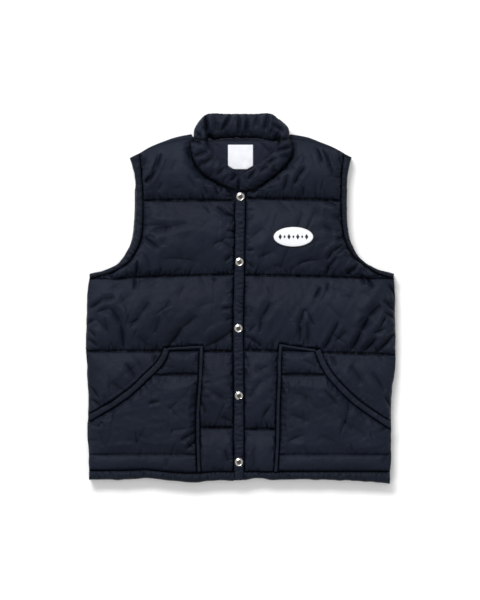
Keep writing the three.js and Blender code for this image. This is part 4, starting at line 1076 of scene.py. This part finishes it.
def pocket(side):
    inward = inward_from(side)
    inset = (POCKET_BINDING_WIDTH + GAP) * inward
    inner = spline(POCKET_INNER[side]) - [inset, 0]
    opening = offset(spline(POCKET_OPENING[side]), -inward * (POCKET_OPENING_WIDTH / 2 + GAP))
    side_edge = side_line(side)
    y_levels = []
    seams = [POCKET_SEAM_Y["bottom"], POCKET_SEAM_Y["hem_stitch"], POCKET_SEAM_Y["yoke"], -101]
    seam_rows = [0]
    for low, high, count in zip(seams, seams[1:], (11, 50, 15)):
        y_levels += list(np.linspace(low, high, count + 1))[1 if y_levels else 0:]
        seam_rows.append(len(y_levels) - 1)
    y = np.array(y_levels)
    on_side = np.interp(y, side_edge[:, 1], side_edge[:, 0])
    order = np.argsort(opening[:, 1])
    on_opening = np.interp(y, opening[order, 1], opening[order, 0])
    below = y < opening[order][0, 1]
    outer_x = np.where(below, on_side, np.maximum(on_opening * inward, on_side * inward) * inward)
    inner_x = np.interp(y, inner[:, 1], inner[:, 0])
    columns = 76
    across = np.linspace(0, 1, columns)
    plan_x = outer_x[:, None] + (inner_x - outer_x)[:, None] * across
    plan = np.dstack([plan_x, np.repeat(y[:, None], columns, 1)])
    to_hem = np.clip(1 - np.arange(len(y)) / 11, 0, 1)
    plan[..., 1] += to_hem[:, None] * hem_wave(plan[..., 0])
    flat = plan.reshape(-1, 2)
    rise = np.ones(len(flat))
    free_rows = int(np.sum(below))
    for line, reach in ((plan[:free_rows, 0], SIDE_REACH * 0.7), (plan[free_rows - 1:, 0], POCKET_REACH),
                        (plan[:, -1], POCKET_REACH), (plan[0], 9), (plan[-1], 5)):
        rise = rise * round_rise(distance_to(flat, line), reach)
    for row, reach, left_over in ((seam_rows[1], 9, 0.5), (seam_rows[2], 12, 0.3)):
        from_seam = np.abs(flat[:, 1] - y[row])
        rise = rise * (left_over + (1 - left_over) * round_rise(from_seam, reach))
    seed = 71 if side == "right" else 83
    height = EDGE + rise * POCKET_LOFT * (0.75 + 0.25 * np.clip((flat[:, 1] + 340) / 90, 0, 1))
    waves = 0.4 * smooth_noise(flat, 14, seed) + 0.8 * smooth_noise(flat, 60, seed)
    height += np.clip((height - SEAM) / 6, 0, 1) * waves
    pinned = np.zeros(plan.shape[:2])
    pinned[[0, -1], :] = 1
    pinned[:, [0, -1]] = 1
    pinned[seam_rows, :] = 1
    nearest = np.min([np.abs(flat[:, 1] - y[row]) for row in seam_rows], axis=0)
    beside = np.minimum(distance_to(flat, plan[:, -1]), distance_to(flat, plan[free_rows:, 0]))
    above_hem = np.clip((flat[:, 1] - POCKET_SEAM_Y["hem_stitch"]) / 20, 0, 1)
    grow = (0.2 + 0.3 * np.clip(1 - nearest / 22, 0, 1) + 0.6 * np.clip(1 - beside / 22, 0, 1)) * above_hem
    points = np.column_stack([flat, OVERLAY_Z + height])
    faces = upward_faces(side, *plan.shape[:2])
    points = settle(points, faces, pinned.ravel(), np.clip(grow, 0, 1), growth=0.05, cap=5, pressure=2.2)
    grid = finer_grid(points.reshape(*plan.shape[:2], 3))
    points = grid.reshape(-1, 3)
    flat = points[:, :2].copy()
    free = np.clip((points[:, 2] - OVERLAY_Z - EDGE - 0.5) / 3, 0, 1)
    small = np.zeros(len(flat))
    for k, row in enumerate(seam_rows):
        small += puckers(flat, plan[row], inward, seed * 10 + k, (8, 20), (4, 11), (0.4, 1.4))
    small += puckers(flat, plan[:, -1], inward, seed + 5, (8, 20), (6, 20), (0.6, 2.4))
    small += puckers(flat, plan[free_rows:, 0], -inward, seed + 6, (9, 22), (6, 18), (0.5, 2.0))
    random_rows = scattered(sorted((inner[0, 0], outer_x[0])), (-325, -110), 40, seed + 10)
    creases = CREASE_DEPTH * crease(flat, POCKET_CREASES[side]) + crease(flat, random_rows)
    points[:, 2] -= free * (creases + small)
    grooves = np.zeros(grid.shape[:2])
    grooves[2 * seam_rows[1], 2:-2] = 0.5
    grooves[2 * seam_rows[2], 2:-2] = 0.9
    grooves[[2 * seam_rows[2] - 1, 2 * seam_rows[2] + 1], 2:-2] = 0.4
    points[:, 2] = np.maximum(points[:, 2] - 2.4 * grooves.ravel(), OVERLAY_Z + 0.8)
    # Painted shade along the edges, in the seams and in the creases and puckers, which darkens the base colour
    edges = np.vstack([plan[free_rows:, 0], plan[-1], plan[::-1, -1], plan[0, ::-1]])[::3]
    fold_and_painted_shade = 0.25 * hat(distance_to(flat, edges), 1.3) + grooves.ravel()
    fold_and_painted_shade += np.maximum(crease(flat, sharp(random_rows)), 0)
    fold_and_painted_shade += np.maximum(crease(flat, sharp(POCKET_CREASES[side])), 0) + np.clip(small, 0, 3) / 3.4
    points, faces = closed_pad(points.reshape(grid.shape), OVERLAY_Z)
    name = f"{side}_pocket_padded"
    piece = make_piece(name, points, faces, SHELL, [f"{side}_pocket"], fold_and_painted_shade=fold_and_painted_shade)
    return piece, plan, seam_rows


def pocket_bindings(side, seed):
    inward = inward_from(side)
    inner_line = spline(POCKET_INNER[side], 8)
    inner = stretch(inner_line, POCKET_SEAM_Y["bottom"], inner_line[-1][1], 40)
    top = inner[-1] + (np.array(POCKET_TOP[side]) - inner[-1]) * np.linspace(0, 1, 11)[1:, None]
    corner = np.vstack([inner, top])
    beside = mitred(corner, inward * POCKET_BINDING_WIDTH)
    beside[40:] = corner[40:] + (beside[40:] - corner[40:]) * 0.75
    lines = finer(corner, 3), finer(beside, 3)
    strip(f"{side}_pocket_trim", lines, FLAT_SECTION, OVERLAY_Z, TRIM_HEIGHT, [f"{side}_pocket_binding"],
          seed, wrinkle=0.5, period=11, wavy=0.4, ticks=0.6)
    opening = resample(spline(POCKET_OPENING[side]), 110)
    half = inward * POCKET_OPENING_WIDTH / 2
    lines = offset(opening, -half), offset(opening, half)
    edge = side_line(side)
    for line in lines:
        limit = np.interp(line[:, 1], edge[:, 1], edge[:, 0]) + inward * 0.5
        line[:, 0] = np.maximum(line[:, 0] * inward, limit * inward) * inward
    strip(f"{side}_pocket_opening_trim", lines, FLAT_SECTION, OVERLAY_Z, TRIM_HEIGHT,
          [f"{side}_pocket_opening_binding"], seed + 9, wrinkle=0.6, period=10, wavy=0.4, ticks=0.8)


# Lining and neck label
LINING_Z = FRONT_Z
LINING_THICKNESS = 1.5
LINING_CREASES = [(38, 299, 66, 269, 4, 3.2), (56, 288, 64, 278, 3, 1.6), (-60, 300, -34, 286, 6, 1.0),
                  (-30, 244, -6, 232, 6, 1.0)]


def lining_z(x, y):
    flat = np.column_stack([np.atleast_1d(x), np.atleast_1d(y)]).astype(float)
    soft = 0.6 * smooth_noise(flat, 50, 21) + 0.35 * smooth_noise(flat, 18, 23)
    groove = hat(flat[:, 1] - 300, 2.2)
    raised = 1.5 + soft - groove - crease(flat, LINING_CREASES) - 2 * np.clip((flat[:, 1] - 298) / 6, 0, 1)
    return LINING_Z + LINING_THICKNESS + np.maximum(raised, 0)


def lining():
    middle = np.array([0, 265])
    loop = spline([row[:2] for row in COLLAR[2:-2]] + [COLLAR[2][:2]], 8)
    loop = resample(loop, 161)[:-1]
    loop = loop + (middle - loop) * 0.04
    rings = np.linspace(0.02, 1, 44)
    plan = middle + (loop - middle)[None] * rings[:, None, None]
    rows, columns = plan.shape[:2]
    flat = plan.reshape(-1, 2)
    top = np.column_stack([flat, lining_z(flat[:, 0], flat[:, 1])])
    under = top - [0, 0, LINING_THICKNESS]
    points, faces = rings_solid(top, under, rows, columns)
    # Painted shadow of the collar over the top band of the lining, and painted shade in its creases
    fold_and_painted_shade = 0.6 * np.clip((flat[:, 1] - 296) / 6, 0, 1)
    fold_and_painted_shade += 1.2 * np.maximum(crease(flat, sharp(LINING_CREASES)), 0)
    piece = make_piece("back_lining_cloth", points, faces, LINING, ["back_lining"], fold_and_painted_shade=fold_and_painted_shade)


LABEL_SIZE = (48, 47)
LABEL_MIDDLE = (0, 270)
LABEL_CHAMFER = (11, 6.6)


def label_outline(inset):
    half_x, half_y = LABEL_SIZE[0] / 2 - inset, LABEL_SIZE[1] / 2 - inset
    cut_x, cut_y = LABEL_CHAMFER
    corners = [(-half_x, half_y), (-half_x, -half_y + cut_y), (-half_x + cut_x, -half_y),
               (half_x - cut_x, -half_y), (half_x, -half_y + cut_y), (half_x, half_y), (-half_x, half_y)]
    return np.array(corners) + LABEL_MIDDLE


def neck_label():
    """A bare woven label, made from the surface of the lining under it."""
    loop = resample(label_outline(0), 121)[:-1]
    middle = np.array(LABEL_MIDDLE, float)
    rings = np.linspace(0.02, 1, 24)
    plan = middle + (loop - middle)[None] * rings[:, None, None]
    flat = plan.reshape(-1, 2)
    rows, columns = plan.shape[:2]
    edge = np.repeat(round_rise((1 - rings) * 22, 1.2), columns)
    top = np.column_stack([flat, lining_z(flat[:, 0], flat[:, 1]) + 0.5 + 0.5 * edge])
    under = np.column_stack([flat, lining_z(flat[:, 0], flat[:, 1]) + 0.3])
    points, faces = rings_solid(top, under, rows, columns)
    piece = make_piece("neck_label_twill", points, faces, TWILL, ["neck_label"])


# Surfaces, to lay things on
class Surface:
    """The top of one or more pieces, in this script's millimetres."""

    def __init__(self, *objects):
        self.trees = []
        for piece in objects:
            points = [tuple(v.co) for v in piece.data.vertices]
            self.trees.append(BVHTree.FromPolygons(points, [tuple(p.vertices) for p in piece.data.polygons]))

    def height(self, x, y):
        start = Vector(((x + SHIFT[0]) * MM, (y + SHIFT[1]) * MM, 0.2))
        hits = [tree.ray_cast(start, Vector((0, 0, -1))) for tree in self.trees]
        heights = [place.z / MM for place, _, _, _ in hits if place is not None]
        return max(heights) if heights else None


# Stitches
STITCH = {"pitch": 3.4, "length": 2.4, "radius": 0.32}


def stitch_rows(lines, surface, lift=0.05):
    """Capsules along plan lines, laid on a surface, as points and faces."""
    around = 6
    profile = [(-0.5, 0.35), (-0.36, 0.95), (0.36, 0.95), (0.5, 0.35)]
    points, faces = [], []
    for line in lines:
        far = run_length(line)
        for middle in np.arange(STITCH["pitch"] / 2, far[-1], STITCH["pitch"]):
            ends = [middle - STITCH["length"] / 2, middle + STITCH["length"] / 2]
            plan = points_at(line, far, ends)
            heights = [surface.height(*place) for place in plan]
            if None in heights:
                continue
            a, b = (np.array([*place, z + lift]) for place, z in zip(plan, heights))
            along = b - a
            length = np.linalg.norm(along)
            along = along / length
            aside = np.cross(along, [0, 0, 1])
            aside /= np.linalg.norm(aside)
            over = np.cross(aside, along)
            first = len(points)
            for share, swell in profile:
                ring_middle = (a + b) / 2 + along * share * length
                for k in range(around):
                    turn = 2 * math.pi * k / around
                    points.append(ring_middle + STITCH["radius"] * swell * (
                        aside * math.cos(turn) + over * math.sin(turn)))
            faces += tube_faces(len(profile), around, first)
    return points, faces


def stitches(name, lines, surface, material):
    points, faces = stitch_rows(lines, surface)
    return make_piece(name, points, faces, material, [])


# Chest patch
PATCH = {"half_width": 38.7, "half_height": 19.0, "x": 101, "y": 117}


def oval(scale_x, scale_y, count=120):
    turn = 2 * math.pi * np.arange(count + 1) / count
    x = PATCH["x"] + PATCH["half_width"] * scale_x * np.cos(turn)
    return np.column_stack([x, PATCH["y"] + PATCH["half_height"] * scale_y * np.sin(turn)])


def smooth_under(surface):
    """A height over the chest baffle, smoothed as stiff embroidered cloth lies on soft padding."""
    rows = []
    for x in np.linspace(-44, 44, 12):
        for y in np.linspace(-24, 24, 8):
            z = surface.height(PATCH["x"] + x, PATCH["y"] + y)
            rows.append((1, x, y, x * x, x * y, y * y, z))
    table = np.array(rows)
    fit = np.linalg.lstsq(table[:, :6], table[:, 6], rcond=None)[0]

    def height(x, y):
        dx, dy = x - PATCH["x"], y - PATCH["y"]
        return fit @ [1, dx, dy, dx * dx, dx * dy, dy * dy]

    worst = max(z - height(PATCH["x"] + x, PATCH["y"] + y) for _, x, y, _, _, _, z in rows
                if (x / 40) ** 2 + (y / 20) ** 2 < 1)
    return lambda x, y: height(x, y) + worst


# The section of the embroidered edge, as rows of scale and lift, and the row of plain lozenges
EDGE_SECTION = [(1.035, 0.1), (1.04, 0.9), (1.02, 1.7), (0.985, 1.7), (0.97, 1.2), (0.97, 0.2)]
FIELD_SCALE = 0.985
LOZENGES = {"count": 7, "pitch": 8.4, "large": (3.3, 5.4), "small": (2.2, 3.2)}


def raised(base, loops, lifts):
    """The points of plan loops, each loop lifted by its own height over a surface."""
    return [(*place, base(*place) + lift) for loop, lift in zip(loops, lifts) for place in loop]


def chest_patch(surface):
    base = smooth_under(surface)
    field = [oval(s, s)[:-1] for s in (FIELD_SCALE, FIELD_SCALE, 0.94, 0.75, 0.5, 0.25, 0.05)]
    count = len(field[0])
    points = raised(base, field, (0.2, 0.9, 1.2, 1.3, 1.3, 1.3, 1.3))
    faces = tube_faces(len(field), count)
    patch = make_piece("chest_patch_twill", points, faces, TWILL, ["chest_patch"])
    tall = PATCH["half_height"]
    loops = [oval(s, (tall * s + 0.3) / tall)[:-1] for s, _ in EDGE_SECTION]
    points = raised(base, loops, [lift for _, lift in EDGE_SECTION])
    faces = grid_faces(len(loops), count, wrap=True)
    last = (len(loops) - 1) * count
    faces += [[last + k, last + (k + 1) % count, (k + 1) % count, k] for k in range(count)]
    border = make_piece("chest_patch_border", points, faces, DARK_THREAD, [])
    points, faces = [], []
    for k in range(LOZENGES["count"]):
        middle = np.array([PATCH["x"] + (k - (LOZENGES["count"] - 1) / 2) * LOZENGES["pitch"], PATCH["y"]])
        size = LOZENGES["large" if k % 2 == 0 else "small"]
        corners = np.array([(1, 0), (0, 1), (-1, 0), (0, -1)]) * size
        faces += tube_faces(3, len(corners), len(points))
        points += raised(base, [middle + corners * scale for scale in (1, 1, 0.75)], (0.9, 1.55, 1.75))
    marks = make_piece("chest_patch_lozenges", points, faces, DARK_THREAD, [], False)
    size = 2 * PATCH["half_width"] * MM, 2 * PATCH["half_height"] * MM


# Snaps
SNAP_PROFILE = [(0, 0), (6.6, 0), (7.7, 0.25), (8.0, 0.8), (7.95, 1.3), (7.6, 1.75), (7.0, 1.95), (6.5, 1.85),
                (6.1, 1.62), (5.8, 1.6), (5.4, 1.8), (4.4, 2.2), (3.0, 2.5), (1.5, 2.66), (0, 2.7)]


def snap(number, y):
    x = float(np.interp(y, PLACKET[:, 1], PLACKET[:, 0]))
    low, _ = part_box(f"snap_{number}")
    section = spline(SNAP_PROFILE, 3)
    around = 56
    points = []
    for radius, height in section[1:-1]:
        z = low[2] / MM + max(height, 0)
        for k in range(around):
            turn = 2 * math.pi * k / around
            points.append((x + radius * math.cos(turn), y + radius * math.sin(turn), z))
    faces = tube_faces(len(section) - 2, around)
    # Painted dark reflection over the middle of the cap
    painted_reflection = np.repeat(np.clip((5.2 - section[1:-1, 0]) / 1.2, 0, 1), around)
    make_piece(f"snap_cap_{number}", points, faces, NICKEL, [f"snap_{number}"], fold_and_painted_shade=painted_reflection)


# Everything in place
back_panel()
lining()
neck_label()
collar()

fronts, front_plans = {}, {}
for side in ("right", "left"):
    piece, plan, seam_rows = front(side)
    fronts[side] = piece
    front_plans[side] = plan, seam_rows

middle_right = float(PLACKET[0, 0]) - PLACKET_WIDTH / 2 - GAP
middle_left = float(PLACKET[0, 0]) + PLACKET_WIDTH / 2 + GAP
seed = 100
stitch_lines = []
strip_pieces = []
for side in ("right", "left"):
    seed += 20
    lines = armhole_lines(side)
    strip_pieces.append(strip(f"{side}_armhole_trim", lines, ROUND_SECTION, FRONT_Z, TRIM_HEIGHT,
                              [f"{side}_front_armhole_binding"], seed, period=9, wavy=0.6, ticks=1.6))
    stitch_lines.append(lines[1] + (lines[0] - lines[1]) * 0.12)
    y = lines[0][:, 1]
    shows = 1.9 if side == "right" else 0.3
    peek = shows * np.clip((y - 100) / 20, 0, 1) * np.clip((215 - y) / 8, 0, 1)
    back_strip(f"{side}_back_armhole_trim", lines, f"{side}_back_armhole_binding", peek, seed + 3)
    outer_x = float(SIDES[side][1][0])
    from_x, to_x = (outer_x, middle_right) if side == "right" else (middle_left, outer_x)
    lines = hem_lines(from_x, to_x)
    strip_pieces.append(strip(f"{side}_hem_band", lines, ROUND_SECTION, FRONT_Z, HEM_BAND_HEIGHT,
                              [f"{side}_front_hem_band"], seed + 5, wrinkle=1.4, period=13, wavy=0.9, ticks=1.8))
    stitch_lines.append(lines[1] - [0, 1.6])
lines = hem_lines(-289, 286)
back_strip("back_hem_trim", lines, "back_hem_band", np.zeros(len(lines[0])), 9)

placket_line = stretch(PLACKET, -347, 202, 300)
placket_lines = [placket_line + [side * PLACKET_WIDTH / 2, 0] for side in (-1, 1)]
strip("placket_padded", placket_lines, FLAT_SECTION, OVERLAY_Z, PLACKET_HEIGHT, ["placket"], 5,
      material=SHELL, wrinkle=1.2, period=15, wavy=1.0, ticks=1.8)

pockets, pocket_plans = {}, {}
for side in ("right", "left"):
    seed += 20
    piece, plan, rows = pocket(side)
    pockets[side] = piece
    pocket_plans[side] = plan, rows
    pocket_bindings(side, seed)

chest_patch(Surface(fronts["left"]))
for k, y in enumerate(SNAP_Y):
    snap(k + 1, y)

front_surface = Surface(fronts["right"], fronts["left"])
quilt_lines = []
for side in ("right", "left"):
    plan, seam_rows = front_plans[side]
    outline = pocket_outline(side, 2)
    for row in seam_rows[1:]:
        line = plan[row]
        shown = ~inside(line, outline)
        start = 0
        for k in range(1, len(line) + 1):
            if k == len(line) or shown[k] != shown[start]:
                if shown[start] and k - start > 3:
                    quilt_lines.append(line[start:k])
                start = k
stitches("quilting_stitches", quilt_lines, front_surface, NAVY_THREAD)
stitches("edge_stitches", stitch_lines, Surface(*strip_pieces), NAVY_THREAD)
pocket_lines = [pocket_plans[side][0][row] for side in pockets for row in pocket_plans[side][1][1:3]]
stitches("pocket_stitches", pocket_lines, Surface(*pockets.values()), NAVY_THREAD)


# Camera, light and floor
PHOTO_HEIGHT = 1152
PHOTO_MIDDLE = (-0.96, -3.84)
CAMERA_DISTANCE = 9.0
SENSOR = 36
KEY_WATTS = 172
OVERHEAD_WATTS = 36
SKY_STRENGTH = 0.6
FLOOR_REACH = 6


def camera():
    data = bpy.data.cameras.new("camera")
    data.sensor_width = SENSOR
    data.lens = SENSOR * CAMERA_DISTANCE / (PHOTO_HEIGHT * MM)
    data.clip_end = 50
    eye = bpy.data.objects.new("camera", data)
    eye.location = ((PHOTO_MIDDLE[0] + SHIFT[0]) * MM, (PHOTO_MIDDLE[1] + SHIFT[1]) * MM, CAMERA_DISTANCE)
    bpy.context.scene.collection.objects.link(eye)
    bpy.context.scene.camera = eye


def area_light(name, place, size, power):
    data = bpy.data.lights.new(name, "AREA")
    data.shape = "RECTANGLE"
    data.size, data.size_y = size
    data.energy = power
    lamp = bpy.data.objects.new(name, data)
    lamp.location = place
    lamp.rotation_euler = (-Vector(place)).to_track_quat("-Z", "Y").to_euler()
    bpy.context.scene.collection.objects.link(lamp)
    return lamp


def studio():
    """Soft light from above the collar, and a sky that is darker where the camera hangs."""
    area_light("key", (-1.2, 2.8, 3.2), (2.2, 1.4), KEY_WATTS)
    overhead = area_light("overhead", (0.2, -0.3, 3.5), (2.5, 2.5), OVERHEAD_WATTS)
    overhead.visible_glossy = False
    world = bpy.data.worlds.new("studio")
    world.use_nodes = True
    tree = world.node_tree
    background = tree.nodes["Background"]
    background.inputs["Strength"].default_value = SKY_STRENGTH
    place = tree.nodes.new("ShaderNodeTexCoord")
    axes = tree.nodes.new("ShaderNodeSeparateXYZ")
    tree.links.new(place.outputs["Generated"], axes.inputs["Vector"])
    shade = ramp_colour(tree, axes.outputs["Z"], (1, 1, 1, 1), (0.2, 0.2, 0.21, 1), 0.72, 0.97)
    tree.links.new(shade, background.inputs["Color"])
    bpy.context.scene.world = world
    bpy.context.scene.view_settings.view_transform = "Standard"


def floor():
    mesh = bpy.data.meshes.new("floor")
    corners = [(x * FLOOR_REACH, y * FLOOR_REACH, 0) for x, y in ((-1, -1), (1, -1), (1, 1), (-1, 1))]
    mesh.from_pydata(corners, [], [[0, 1, 2, 3]])
    material, tree, shader = node_material("floor_paper", 0.9)
    shader.inputs["Specular IOR Level"].default_value = 0.1
    tone = ramp_colour(tree, noise_node(tree, 3, 2), linear(250, 250, 250), linear(254, 254, 254))
    tree.links.new(tone, shader.inputs["Base Color"])
    mesh.materials.append(material)
    ground = bpy.data.objects.new("floor", mesh)
    bpy.context.scene.collection.objects.link(ground)


camera()
studio()
floor()
